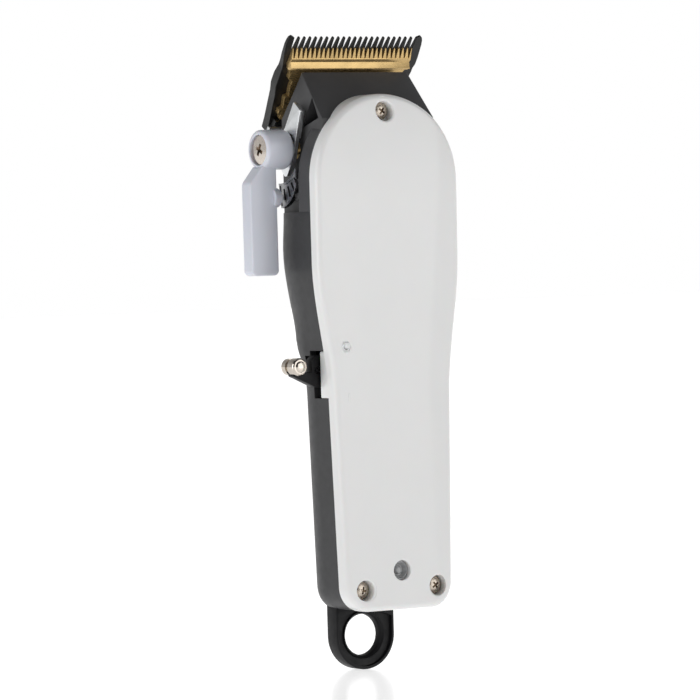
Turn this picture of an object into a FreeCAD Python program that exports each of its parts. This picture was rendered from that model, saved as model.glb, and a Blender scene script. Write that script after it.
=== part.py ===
"""Cordless hair clipper with a taper lever, built as an assembly of separate pieces.

Frame: millimetres, +Z up along the clipper towards the blades, -Y out of the front cover,
+X to the right. The origin is the centre of the eye in the hanging loop.
"""
import FreeCAD, Part

import math
import os

from FreeCAD import Placement, Rotation, Vector

# Driving dimensions. Each name is an alias in the sheet, and every piece reads it from there.
DIMENSIONS = {
    # body outline, seen from the front
    "body_bottom": 8.0,         # height of the tail end above the loop's eye
    "tail_half": 17.5,          # half the width at the tail
    "tail_corner": 7.0,         # radius of the two tail corners
    "waist_half": 19.1,         # half the width at the waist
    "waist_level": 66.0,        # height where the sides begin to flare
    "head_half": 23.3,          # half the width at the head, and the radius of the arch
    "head_level": 104.0,        # height where the flare ends
    "arch_level": 126.0,        # height of the arch's centre
    # body depth, seen from the side
    "split_depth": 16.0,        # parting face, this far in front of the loop's middle plane
    "cover_rise": 5.5,          # front cover's crown in front of the parting face
    "crown_drop": 3.2,          # how far the crown falls away at the arch
    "facet_half": 11.5,         # half the width of the flat front band
    "facet_drop": 2.4,          # fall of the side facets to the cover's edge
    "side_flat": 7.3,           # straight part of the side wall behind the parting face
    "head_back": 11.0,          # back of the head behind the loop's middle plane
    "seam_level": 117.5,        # joint between rear housing and neck
    "wall": 2.0,
    "cover_overhang": 0.35,     # cover edge stands this proud of the housing's side
    "fit_gap": 0.15,            # play between pieces that are fixed together
    "run_gap": 0.3,             # play beside pieces that move
    # hanging loop
    "loop_half": 9.6,
    "loop_thick": 5.0,
    "eye_radius": 5.7,
    "loop_rim": 1.5,
    "loop_sink": 0.9,
    # screws that hold the cover
    "screw_head": 2.5,
    "screw_head_deep": 1.6,
    "screw_shank": 1.25,
    "screw_long": 8.0,
    "tail_screw_side": 12.0,
    "tail_screw_level": 13.9,
    "top_screw_level": 144.6,
    "recess_radius": 2.9,
    "tail_head_front": 3.0,     # front of the tail screws' heads, in front of the parting face
    "top_head_front": 1.6,
    # indicator
    "lens_radius": 2.6,
    "lens_level": 18.8,
    "lens_flange": 0.7,
    "lens_play": 0.1,           # between the lens's flange and the cover
    "lens_sunk": 0.45,          # lens's tip behind the cover's crown
    # neck
    "neck_half": 17.8,
    "neck_back": 6.5,
    "neck_top_depth": 4.8,
    "neck_top_level": 155.9,
    "hood_foot_level": 142.8,
    "shoulder_deep": 6.5,       # depth of the shoulders behind the parting face
    "cavity_half": 9.0,
    # blades: a plane that leans back, with its zero at the fixed blade's tips
    "blade_lean": 37.0,
    "tip_depth": 6.8,
    "tip_level": 165.9,
    "blade_half": 22.5,
    "heel_half": 18.2,
    "blade_long": 33.0,
    "blade_thick": 3.0,
    "tooth_pitch": 1.86,
    "tooth_gaps": 22,
    "tooth_deep": 8.2,
    "cutter_half": 20.3,
    "cutter_start": 3.5,        # cutter's tips behind the fixed tips with the lever open
    "cutter_thick": 1.5,
    "cutter_pitch": 1.46,
    "cutter_gaps": 27,
    "cutter_tooth_deep": 2.9,
    "cutter_foot": 27.0,
    "blade_film": 0.05,         # oil film between the blades
    "stroke": 2.4,
    "pad_start": 27.6,
    "bracket_sheet": 1.2,
    "bracket_start": 20.0,
    "bracket_half": 13.0,
    "bracket_gap": 0.1,
    "seat_rise": 3.0,           # neck's inclined face above the fixed blade's inner face
    "blade_screw_side": 8.0,
    "blade_screw_at": 30.2,
    "blade_screw_shank": 1.5,
    # taper lever
    "lever_depth": 1.5,         # pivot in front of the loop's middle plane
    "lever_level": 134.8,
    "hub_radius": 5.1,
    "hub_inner": 21.5,
    "hub_lap": 3.9,             # hub's outer end beyond the handle's inner face
    "handle_gap": 3.0,          # free space between the body's side and the handle
    "handle_thick": 8.1,
    "handle_deep": 4.8,
    "handle_end": 34.4,         # handle's end below the pivot
    "nub_radius": 3.0,
    "nub_below": 11.2,
    "nub_inner": 23.3,
    "pivot_radius": 1.6,
    "pivot_head": 3.9,
    "crank_gap": 0.2,           # between the pivot screw and the eccentric pin
    "crank_pin": 1.2,
    "lever_sweep": 60.0,
    "ear_outer": 20.8,
    "ring_inner_radius": 9.6,
    "ring_outer_radius": 16.6,
    "ring_face": 23.0,
    "ring_thick": 1.0,
    "ring_slots": 7,
    # power switch
    "switch_depth": 10.5,
    "switch_level": 75.4,
    "switch_travel": 2.8,
    "arm_thick": 2.8,
    "arm_tip": 27.4,            # how far out the arm reaches under the knob
    "knob_radius": 2.45,
    "arm_web": 21.5,            # how far out the arm stands at its full height
    "knob_out": 26.1,           # how far out the knob's axis is; it points to the front
    "knob_long": 6.3,
    "slot_top": 79.6,
    "tab_rear": 12.4,
    # motor and drive
    "motor_radius": 10.0,
    "motor_long": 28.0,
    "motor_top": 113.0,
    "motor_depth": 4.6,
    "shaft_radius": 1.0,
    "shaft_top": 136.0,
    "shaft_play": 0.03,
    "cam_radius": 4.5,
    "cam_base": 127.0,
    "cam_top": 137.5,
    "throw": 1.2,
    "drive_pin": 1.1,
    "pin_top": 144.6,
    "fork_half": 6.0,
    # electrics
    "cell_radius": 7.0,
    "cell_long": 50.0,
    "cell_base": 24.0,
    "cell_play": 0.1,           # between the cell and the board
    "cell_gap": 0.2,            # between the cell and the back
    "board_half": 13.0,
    "board_thick": 1.6,
    "board_base": 12.6,
    "board_top": 84.0,
    "board_face": 13.4,
    "socket_half": 4.5,
    "socket_deep": 3.2,
    "socket_depth": 9.0,
    "socket_long": 7.3,
}

# Sizes that follow from the driving ones, worked out in the same sheet.
TIED = {
    "tail_back": "wall + cell_gap + 2 * cell_radius + cell_play + board_thick - board_face",
    "cover_inside": "split_depth + cover_rise - facet_drop - wall",
    "lens_base": "cover_inside - lens_play - lens_flange",
    "handle_inner": "head_half + handle_gap",
    "handle_outer": "handle_inner + handle_thick",
    "hub_outer": "handle_inner + hub_lap",
    "crank": "pivot_radius + crank_gap + crank_pin",    # throw of the eccentric pin
}
SIZES = {**DIMENSIONS, **{alias: "=" + rule for alias, rule in TIED.items()}}

doc = FreeCAD.newDocument("hair_clipper")
sheet = doc.addObject("Spreadsheet::Sheet", "Sizes")
for row, (alias, content) in enumerate(SIZES.items(), start=1):
    sheet.set(f"A{row}", alias)
    sheet.set(f"B{row}", str(content))
    sheet.setAlias(f"B{row}", alias)
doc.recompute()


def size(alias):
    """Read one size back from the sheet."""
    return float(sheet.get(alias))


def bound(text):
    """Turn words such as 'wall + fit_gap' into an expression on the sheet."""
    words = text.replace("(", " ( ").replace(")", " ) ").split()
    return " ".join("Sizes." + word if word in SIZES else word for word in words)


def bind(item, prop, text):
    """Bind one property of an object to the sheet."""
    item.setExpression(prop, bound(text))


# ---------------------------------------------------------------- shared builders

def named(item, label):
    """Give a finished sub-part the name of its file."""
    item.Label = label
    return item


def box(name, lengths, corner):
    """Block from its lowest corner, all six values as expressions."""
    item = doc.addObject("Part::Box", name)
    for prop, text in zip(("Length", "Width", "Height"), lengths):
        bind(item, prop, text)
    for axis, text in zip("xyz", corner):
        bind(item, f"Placement.Base.{axis}", text)
    return item


TURNS = {
    "+X": Rotation(Vector(0, 1, 0), 90),
    "-X": Rotation(Vector(0, 1, 0), -90),
    "+Y": Rotation(Vector(1, 0, 0), -90),
    "-Y": Rotation(Vector(1, 0, 0), 90),
    "+Z": Rotation(),
}


def rod(name, radius, long, start, way="+Z"):
    """Cylinder that starts at a point and runs along one axis."""
    item = doc.addObject("Part::Cylinder", name)
    item.Placement = Placement(Vector(), TURNS[way])
    bind(item, "Radius", radius)
    bind(item, "Height", long)
    for axis, text in zip("xyz", start):
        bind(item, f"Placement.Base.{axis}", text)
    return item


def joined(name, *items):
    """One solid from several that meet."""
    item = doc.addObject("Part::MultiFuse", name)
    item.Shapes = list(items)
    item.Refine = True
    return item


def group(name, *items):
    """Several separate solids that share a node."""
    item = doc.addObject("Part::Compound", name)
    item.Links = list(items)
    return item


def cut(name, base, *tools):
    """A base with one or more tools taken away."""
    item = doc.addObject("Part::Cut", name)
    item.Base = base
    item.Tool = tools[0] if len(tools) == 1 else joined(name + "_tools", *tools)
    return item


def new_body(name):
    """Empty PartDesign body."""
    return doc.addObject("PartDesign::Body", name)


def sketch(body, name, role, edges, offset="0"):
    """Sketch of closed outlines on one of the body's own planes, moved along its normal."""
    face = next(item for item in body.Origin.OriginFeatures if item.Role == role)
    item = body.newObject("Sketcher::SketchObject", name)
    item.AttachmentSupport = [(face, "")]
    item.MapMode = "FlatFace"
    bind(item, "AttachmentOffset.Base.z", offset)
    item.addGeometry(edges)
    return item


def pad(body, name, profile, long, middle=False, back=False):
    """Pad a sketch by a bound length."""
    item = body.newObject("PartDesign::Pad", name)
    item.Profile = profile
    item.Midplane = middle
    item.Reversed = back
    bind(item, "Length", long)
    return item


def pocket(body, name, profile, long, middle=False, back=False):
    """Pocket a sketch by a bound length, and see that it removes something."""
    doc.recompute()
    before = body.Shape.Volume
    item = body.newObject("PartDesign::Pocket", name)
    item.Profile = profile
    item.Midplane = middle
    item.Reversed = back
    bind(item, "Length", long)
    doc.recompute()
    if not body.Shape.Volume < before:
        raise RuntimeError(f"{name} cuts nothing")
    return item


def row_of(body, name, feature, count, pitch):
    """Repeat a feature along +X."""
    item = body.newObject("PartDesign::LinearPattern", name)
    item.Originals = [feature]
    item.Direction = (next(o for o in body.Origin.OriginFeatures if o.Role == "X_Axis"), [""])
    item.Mode = "Spacing"
    bind(item, "Occurrences", count)
    bind(item, "Offset", pitch)
    body.Tip = item
    return item


def turned(body, name, points):
    """Solid of revolution about the local Z axis from (radius, height) points."""
    profile = sketch(body, name + "_profile", "XZ_Plane", path(*points))
    item = body.newObject("PartDesign::Revolution", name)
    item.Profile = profile
    item.ReferenceAxis = (profile, ["V_Axis"])
    item.Angle = 360
    return item


def path(start, *steps):
    """Closed outline. A step is an end point, or a (middle, end) pair for an arc."""
    edges = []
    first = here = Vector(*start, 0)
    for step in steps:
        if isinstance(step[0], tuple):
            middle, end = (Vector(*point, 0) for point in step)
            edges.append(Part.Arc(here, middle, end))
        else:
            end = Vector(*step, 0)
            edges.append(Part.LineSegment(here, end))
        here = end
    if not here.isEqual(first, 1e-6):
        edges.append(Part.LineSegment(here, first))
    return edges


def circle(centre, radius):
    """Full circle in sketch coordinates."""
    return [Part.Circle(Vector(*centre, 0), Vector(0, 0, 1), radius)]


def rectangle(left, right, low, high):
    """Rectangle in sketch coordinates."""
    return path((left, low), (right, low), (right, high), (left, high))


def half_width(level):
    """Half the body's width at a height on the straight and flared sides."""
    waist, head = size("waist_level"), size("head_level")
    tail = size("body_bottom") + size("tail_corner")
    if level <= waist:
        share = (level - tail) / (waist - tail)
        return size("tail_half") + share * (size("waist_half") - size("tail_half"))
    share = min(1.0, (level - waist) / (head - waist))
    blend = share * share * (3 - 2 * share)
    return size("waist_half") + blend * (size("head_half") - size("waist_half"))


def back_depth(level):
    """How far behind the loop's plane the back of the housing lies at a height."""
    waist, head = size("waist_level"), size("head_level")
    share = min(1.0, max(0.0, (level - waist) / (head - waist)))
    blend = share * share * (3 - 2 * share)
    return size("tail_back") + blend * (size("head_back") - size("tail_back"))


def body_outline(inset):
    """Arched outline of the body seen from the front, moved inwards by inset."""
    low = size("body_bottom") + inset
    corner = size("tail_corner") - inset / 2
    tail, waist, head = (size(name) - inset for name in ("tail_half", "waist_half", "head_half"))
    waist_z, head_z, arch_z = size("waist_level"), size("head_level"), size("arch_level")
    bend = corner * (1 - math.sqrt(0.5))
    mid_x, mid_z = (waist + head) / 2, (waist_z + head_z) / 2
    soft = 0.4
    lower = (waist + soft * (mid_x - waist), (waist_z + mid_z) / 2)
    upper = (head - soft * (head - mid_x), (mid_z + head_z) / 2)
    return path(
        (corner - tail, low), (tail - corner, low),
        ((tail - bend, low + bend), (tail, low + corner)),
        (waist, waist_z), (lower, (mid_x, mid_z)), (upper, (head, head_z)), (head, arch_z),
        ((0, arch_z + head), (-head, arch_z)),
        (-head, head_z), ((-upper[0], upper[1]), (-mid_x, mid_z)),
        ((-lower[0], lower[1]), (-waist, waist_z)), (-tail, low + corner),
        ((bend - tail, low + bend), (corner - tail, low)),
    )


def blade_point(along, rise):
    """(Y, Z) of a point given along the blades from the tips, and above the fixed blade."""
    lean = math.radians(size("blade_lean"))
    depth = -size("tip_depth") + along * math.sin(lean) - rise * math.cos(lean)
    return depth, size("tip_level") - along * math.cos(lean) - rise * math.sin(lean)


def lay_on_blade_plane(item, side=0.0):
    """Place a piece drawn flat, +Y towards the tips and +Z towards the neck, on the blades."""
    turn = Rotation(Vector(1, 0, 0), 90 + size("blade_lean"))
    item.Placement = Placement(Vector(side, -size("tip_depth"), size("tip_level")), turn)
    return item


def switch_slot(inset):
    """(low, high) of the notch in the side wall, with the cover's tab inset by a gap."""
    low = size("switch_level") - size("knob_radius") * 2 - size("switch_travel") - 1.2
    return low + inset, size("slot_top") - inset


def dome_fall(radius, sag, out):
    """How far a shallow dome of that radius and sag has fallen at a distance from its middle."""
    sphere = (radius * radius + sag * sag) / (2 * sag)
    return sphere - math.sqrt(sphere * sphere - out * out)


def screw(label, head, deep, shank, long, at, turn):
    """Pan-head cross-recess screw, drawn with its head down -Z and placed."""
    body = new_body(label)
    sag = deep * 0.7
    middle = head * 0.6
    turned(body, label + "_turned", (
        (0, 0), ((middle, dome_fall(head, sag, middle)), (head, sag)),
        (head, deep), (shank, deep), (shank, deep + long - shank), (0, deep + long)))
    arm, narrow = head * 0.5, head * 0.13
    cross = sketch(body, label + "_cross", "XY_Plane", path(
        (arm, -narrow), (arm, narrow), (narrow, narrow), (narrow, arm), (-narrow, arm),
        (-narrow, narrow), (-arm, narrow), (-arm, -narrow), (-narrow, -narrow),
        (-narrow, -arm), (narrow, -arm), (narrow, -narrow)), "-1")
    item = pocket(body, label + "_recess", cross, f"{1 + deep * 0.75:.3f}", back=True)
    body.Tip = item
    body.Placement = Placement(Vector(*at), turn)
    return body


# ---------------------------------------------------------------- covers and housings

def behind_cover():
    """All the space behind the parting face and the hood's slope, as a tool."""
    body = new_body("behind_cover")
    split, gap = size("split_depth"), size("fit_gap")
    side = path((-split, 0), (-split, size("hood_foot_level") + gap),
                (-size("neck_top_depth"), size("neck_top_level") + gap),
                (size("head_back"), size("neck_top_level")), (size("head_back"), 0))
    pad(body, "behind_pad", sketch(body, "behind_side", "YZ_Plane", side), "3 * head_half",
        middle=True)
    return body


def cover_shell():
    """Arched block with a flat band, a brow, two side facets and a hollow inside."""
    body = new_body("cover_shell")
    split, rise, wall = size("split_depth"), size("cover_rise"), size("wall")
    front = split + rise
    top = size("arch_level") + size("head_half")
    pad(body, "cover_block", sketch(body, "cover_plan", "XZ_Plane", body_outline(0),
                                    "neck_top_depth"), "split_depth + cover_rise - neck_top_depth")
    drop = size("crown_drop")
    ahead = path((-front - 1, size("arch_level") - 4), (-front, size("arch_level") - 4),
                 ((-front + drop * 0.3, size("arch_level") + 12), (-front + drop, top)),
                 (-front + drop, top + 2), (-front - 1, top + 2))
    pocket(body, "cover_brow", sketch(body, "cover_brow_side", "YZ_Plane", ahead),
           "2.2 * head_half", middle=True)
    facet, fall, reach = size("facet_half"), size("facet_drop"), size("head_half") + 1
    for side in (-1, 1):
        wedge = path((side * facet, -front), (side * reach, -front + fall),
                     (side * reach, -front - 1), (side * facet, -front - 1))
        plan = sketch(body, f"cover_facet_plan_{side + 1}", "XY_Plane", wedge)
        pocket(body, f"cover_facet_{side + 1}", plan, "arch_level + head_half + 5", back=True)
    inner = sketch(body, "cover_hollow_plan", "XZ_Plane", body_outline(wall), "split_depth - 12")
    pocket(body, "cover_hollow", inner, "12 + cover_rise - facet_drop - wall", back=True)
    return body


def front_cover():
    """White front cover with its screw bosses, screw holes, lens hole and switch tab."""
    bosses, holes = [], []
    for name, side, level, front in (
            ("left", "- tail_screw_side", "tail_screw_level", "tail_head_front"),
            ("right", "tail_screw_side", "tail_screw_level", "tail_head_front"),
            ("top", "0", "top_screw_level", "top_head_front")):
        bosses.append(rod(f"cover_boss_{name}", "recess_radius + 1.2", "6",
                          (side, "- split_depth - cover_rise + facet_drop + 6", level), "-Y"))
        holes.append(rod(f"cover_recess_{name}", "recess_radius", "12",
                         (side, f"- split_depth - {front} + screw_head_deep", level), "-Y"))
        holes.append(rod(f"cover_hole_{name}", "screw_shank + fit_gap", "14",
                         (side, "- split_depth + 4", level), "-Y"))
    holes.append(rod("cover_lens_hole", "lens_radius + fit_gap", "cover_rise + 2",
                     ("0", "- split_depth", "lens_level"), "-Y"))
    seated = cut("cover_seated", joined("cover_bossed", cover_shell(), *bosses), behind_cover())
    low, high = switch_slot(size("fit_gap"))
    tab = box("cover_tab", ("1.6", "split_depth - tab_rear + 1", f"{high - low:.3f}"),
              (f"{-half_width(low):.3f}", "- split_depth - 1", f"{low:.3f}"))
    whole = joined("cover_whole", seated, tab)
    return named(cut("cover_cut", whole, *holes), "front_cover")


def housing_section(body, name, level, inset):
    """Cross-section of the rear housing at a height: straight sides and a crowned back."""
    half, deep = half_width(level) - size("cover_overhang") - inset, back_depth(level) - inset
    flat = size("side_flat") - size("split_depth")
    front = -size("split_depth") - (0 if inset == 0 else 1)
    crown = []
    for side in (1, -1):
        curve = Part.BezierCurve()
        poles = [(half, flat), (half * 0.99, flat + 0.62 * (deep - flat)),
                 (half * 0.66, deep), (0, deep)]
        if side < 0:
            poles = [(-x, y) for x, y in reversed(poles)]
        curve.setPoles([Vector(x, y, 0) for x, y in poles])
        crown.append(curve.toBSpline())
    edges = [Part.LineSegment(Vector(-half, front, 0), Vector(half, front, 0)),
             Part.LineSegment(Vector(half, front, 0), Vector(half, flat, 0)),
             crown[0], crown[1],
             Part.LineSegment(Vector(-half, flat, 0), Vector(-half, front, 0))]
    return sketch(body, name, "XY_Plane", edges, f"{level:.3f}")


def rear_shell():
    """Grey tub behind the parting face, from the tail to the neck seam."""
    body = new_body("rear_housing_body")
    low, top, wall = size("body_bottom"), size("seam_level"), size("wall")
    waist, head = size("waist_level"), size("head_level")
    levels = (low, (low + waist) / 2, waist, waist + 0.3 * (head - waist),
              waist + 0.7 * (head - waist), head, top)
    outer = [housing_section(body, f"shell_section_{n}", level, 0)
             for n, level in enumerate(levels)]
    loft = body.newObject("PartDesign::AdditiveLoft", "shell_outer")
    loft.Profile, loft.Sections, loft.Ruled = outer[0], outer[1:], True
    doc.recompute()
    levels = (low + wall,) + levels[1:-1] + (top - wall,)
    inner = [housing_section(body, f"hollow_section_{n}", level, wall)
             for n, level in enumerate(levels)]
    hollow = body.newObject("PartDesign::SubtractiveLoft", "shell_hollow")
    hollow.Profile, hollow.Sections, hollow.Ruled = inner[0], inner[1:], True
    corner = size("tail_corner")
    half = size("tail_half") - size("cover_overhang")
    bend = corner * (1 - math.sqrt(0.5))
    for side in (-1, 1):
        nick = path((side * (half - corner), low), (side * (half + 2), low),
                    (side * (half + 2), low + corner), (side * half, low + corner),
                    ((side * (half - bend), low + bend), (side * (half - corner), low)))
        plan = sketch(body, f"shell_corner_plan_{side + 1}", "XZ_Plane", nick)
        pocket(body, f"shell_corner_{side + 1}", plan, "3 * split_depth", middle=True)
    low_slot, high_slot = switch_slot(0)
    arm = size("switch_depth")
    rear = -arm + size("arm_thick") / 2 + size("run_gap")
    window = path((-size("split_depth") - 1, low_slot), (rear, low_slot), (rear, low_slot + 4.4),
                  (rear + 2.8, low_slot + 4.4), (rear + 2.8, high_slot - 1.4),
                  (rear, high_slot - 1.4), (rear, high_slot),
                  (-size("split_depth") - 1, high_slot))
    side = sketch(body, "switch_window_side", "YZ_Plane", window, "- waist_half - 4")
    pocket(body, "switch_window", side, "9", back=True)
    return body


def rear_housing():
    """Rear housing with its screw bosses and the openings in its tail wall."""
    shell = rear_shell()
    bosses, holes = [], []
    for name, side in (("left", "- tail_screw_side"), ("right", "tail_screw_side")):
        start = (side, "- split_depth + fit_gap", "tail_screw_level")
        bosses.append(rod(f"tail_boss_{name}", "screw_shank + 1.6", "screw_long + 4", start, "+Y"))
        holes.append(rod(f"tail_pilot_{name}", "screw_shank", "screw_long + 3", start, "+Y"))
    stem = box("stem_slot", ("2 * ( loop_half + fit_gap )", "loop_thick + 2 * fit_gap", "wall + 2"),
               ("- loop_half - fit_gap", "- loop_thick / 2 - fit_gap", "body_bottom - 1"))
    inlet = box("inlet_slot", ("2 * ( socket_half + fit_gap )", "socket_deep + 2 * fit_gap",
                               "wall + 2"),
                ("- socket_half - fit_gap", "- socket_depth - socket_deep / 2 - fit_gap",
                 "body_bottom - 1"))
    way = rod("shaft_way", "cam_radius + 1", "2 * wall",
              ("0", "- motor_depth", "seam_level - 1.5 * wall"))
    return named(cut("rear_cut", joined("rear_whole", shell, *bosses), *holes, stem, inlet, way),
                 "rear_housing")


def neck_shell():
    """Grey neck: arched shoulders, a slanted hood and an inclined seat for the blades."""
    body = new_body("neck_body")
    split, gap, seam = size("split_depth"), size("fit_gap"), size("seam_level")
    base = seam + gap
    half, arch = size("head_half") - size("cover_overhang"), size("arch_level")
    shoulders = path((-half, base), (half, base), (half, arch), ((0, arch + half), (-half, arch)))
    pad(body, "shoulder_pad", sketch(body, "shoulder_plan", "XZ_Plane", shoulders,
                                     "split_depth - shoulder_deep"), "shoulder_deep")
    hood_top = (-size("neck_top_depth"), size("neck_top_level"))
    rise = size("seat_rise")
    lip = size("neck_top_level") - size("hood_foot_level")
    seat_top = blade_point(lip * 0.78, rise)
    seat_end = blade_point(26.0, rise)
    side = path((-split, base), (-split, size("hood_foot_level")), hood_top, seat_top, seat_end,
                (size("neck_back"), seat_end[1] - 1), (size("neck_back"), base))
    pad(body, "hood_pad", sketch(body, "hood_side", "YZ_Plane", side), "2 * neck_half", middle=True)
    above = path((-split - 1, size("hood_foot_level")), (-split, size("hood_foot_level")),
                 hood_top, (hood_top[0], hood_top[1] + 9), (-split - 1, hood_top[1] + 9))
    pocket(body, "hood_slant", sketch(body, "slant_side", "YZ_Plane", above),
           "2.2 * head_half", middle=True)
    wall = size("wall") + 0.2
    slope = math.atan2(lip, split - size("neck_top_depth"))
    shift = (wall * math.sin(slope), -wall * math.cos(slope))
    foot = (-split + wall, size("hood_foot_level") - wall * 0.4)
    peak = (hood_top[0] + shift[0] - 1.6, hood_top[1] + shift[1] - 1.9)
    cavity = path((-split + wall, base - 1), foot, peak, (peak[0] + 6, peak[1]),
                  (size("neck_back") - wall, blade_point(20.5, rise)[1]),
                  (size("neck_back") - wall, base - 1))
    pocket(body, "neck_cavity", sketch(body, "cavity_side", "YZ_Plane", cavity),
           "2 * cavity_half", middle=True)
    return body


def neck_housing():
    """Neck with the top screw's boss, the lever's boss and the detent ring's seat."""
    shell = neck_shell()
    top_boss = rod("top_boss", "screw_shank + 1.6", "3.4",
                   ("0", "- split_depth + 4.2", "top_screw_level"), "+Y")
    pilot = rod("top_pilot", "screw_shank", "screw_long + 2",
                ("0", "- split_depth - top_head_front + screw_head_deep", "top_screw_level"), "+Y")
    pivot = rod("pivot_pilot", "pivot_radius + 1.0 + fit_gap", "6.6",
                ("- neck_half - 0.1", "- lever_depth", "lever_level"), "+X")
    seat = ring_sector("ring_seat", "ring_outer_radius - 2.2", "ring_outer_radius - 0.4",
                       "ring_face - ring_thick - neck_half + 0.5", "- neck_half + 0.5", -10, 50)
    trim = box("shoulder_space", ("12", "30", "60"),
               ("- neck_half - 12", "- split_depth + shoulder_deep - 30", "seam_level"))
    clear_seat = cut("ring_seat_trimmed", seat, trim)
    whole = joined("neck_whole", shell, top_boss, clear_seat)
    return named(cut("neck_cut", whole, pilot, pivot), "neck_housing")


def hanging_loop():
    """D-shaped loop with a sunk web, a rim round its edge and a rim round the eye."""
    body = new_body("hanging_loop_body")
    half, rim, eye = size("loop_half"), size("loop_rim"), size("eye_radius")
    top = size("body_bottom") + size("wall")
    pad(body, "loop_pad", sketch(body, "loop_plan", "XZ_Plane", path(
        (-half, 0), ((0, -half), (half, 0)), (half, top), (-half, top)) + circle((0, 0), eye),
        "- loop_thick / 2"), "loop_thick")
    root = eye + rim * 0.8 + 0.3
    inner = half - rim
    start = math.asin(root / inner)
    left = (-inner * math.cos(start), root)
    groove = path(left, ((0, -inner), (inner * math.cos(start), root)))
    pocket(body, "loop_web", sketch(body, "loop_web_plan", "XZ_Plane",
                                    groove + circle((0, 0), eye + rim * 0.8), "loop_thick / 2"),
           "loop_sink")
    tongue = sketch(body, "loop_tongue_plan", "XZ_Plane",
                    rectangle(-half * 0.7, half * 0.7, top - 1, top + 4), "1.2 - loop_thick / 2")
    item = pad(body, "loop_tongue", tongue, "loop_thick - 1.2")
    body.Tip = item
    return named(body, "hanging_loop")


# ---------------------------------------------------------------- blades

def tooth_row(body, name, count, pitch, at, deep, tip_gap, root_gap, sweep):
    """Row of tapered tooth gaps, cut from the tips and centred on the blade."""
    first = -(count - 1) / 2 * pitch
    gap = path((first - tip_gap / 2, at + 1), (first - root_gap / 2, at - deep + root_gap),
               ((first, at - deep + root_gap / 2), (first + root_gap / 2, at - deep + root_gap)),
               (first + tip_gap / 2, at + 1))
    feature = pocket(body, name + "_gap", sketch(body, name + "_gap_plan", "XY_Plane", gap),
                     sweep, middle=True)
    return row_of(body, name + "_row", feature, name + "_gaps", name + "_pitch")


def stationary_blade():
    """Black fixed blade: 23 tapered teeth, a hollow-ground sole and a raised heel."""
    body = new_body("stationary_blade")
    thick, long = size("blade_thick"), size("blade_long")
    top = size("seat_rise") - size("bracket_gap") - size("bracket_sheet")
    sole = path((0, 0), (0, -0.7), ((-8, -1.6), (-14, -thick)), (-long, -thick), (-long, top),
                (-size("pad_start"), top), (-size("pad_start"), 0))
    pad(body, "blade_pad", sketch(body, "blade_side", "YZ_Plane", sole), "2 * blade_half",
        middle=True)
    half, heel = size("blade_half"), size("heel_half")
    for side in (-1, 1):
        waste = path((side * (half - 1.2), 1), (side * (half - 1.2), 0),
                     ((side * (half - 0.4), -0.9), (side * (half - 0.15), -3)),
                     (side * half, -12), (side * (heel + 0.6), -24), (side * heel, -long - 1),
                     (side * (half + 2), -long - 1), (side * (half + 2), 1))
        pocket(body, f"blade_flank_{side + 1}",
               sketch(body, f"blade_flank_plan_{side + 1}", "XY_Plane", waste),
               "4 * blade_thick", middle=True)
    tooth_row(body, "tooth", int(size("tooth_gaps")), size("tooth_pitch"), 0,
              size("tooth_deep"), 1.22, 0.5, "4 * blade_thick")
    doc.recompute()
    holes = []
    for side in (-1, 1):
        holes += circle((side * size("blade_screw_side"), -size("blade_screw_at")),
                        size("blade_screw_shank") + size("fit_gap") / 3)
    drilled = pocket(body, "blade_holes", sketch(body, "blade_hole_plan", "XY_Plane", holes),
                     "4 * blade_thick", middle=True)
    body.Tip = drilled
    return named(lay_on_blade_plane(body), "stationary_blade")


def moving_blade():
    """Gold cutter: fine teeth, a ridge and rounded band, stepped sides and two rear feet."""
    body = new_body("moving_blade")
    film, thick = size("blade_film"), size("cutter_thick")
    start, foot, half = size("cutter_start"), size("cutter_foot"), size("cutter_half")
    root = start + size("cutter_tooth_deep")
    leg = 17.4 / 20.3 * half
    plan = path((-half, -start), (half, -start), (half, -root - 5.2), (half - 1.7, -root - 8),
                (leg, -root - 14.5), (leg, -foot), (leg - 2.6, -foot), (leg - 3.2, -root - 13),
                (3.2 - leg, -root - 13), (2.6 - leg, -foot), (-leg, -foot),
                (-leg, -root - 14.5), (1.7 - half, -root - 8), (-half, -root - 5.2))
    pad(body, "cutter_pad", sketch(body, "cutter_plan", "XY_Plane", plan, "blade_film"),
        "cutter_thick")
    top = film + thick
    band = path((-root, film + 0.4), (-root, top + 0.2), (-root - 0.9, top + 0.2),
                (-root - 1.0, top - 0.2), (-root - 1.3, top - 0.2), (-root - 1.4, top + 0.5),
                ((-root - 2.4, top + 1.0), (-root - 3.5, top + 0.75)), (-root - 3.6, top + 0.3),
                (-root - 4.4, top + 0.3), (-root - 4.6, film + 0.4))
    pad(body, "cutter_band", sketch(body, "cutter_band_side", "YZ_Plane", band),
        "2 * cutter_half", middle=True)
    tooth_row(body, "cutter", int(size("cutter_gaps")), size("cutter_pitch"), -start,
              size("cutter_tooth_deep"), 0.8, 0.5, "6 * cutter_thick")
    return named(lay_on_blade_plane(body, -size("stroke") / 2), "moving_blade")


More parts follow.
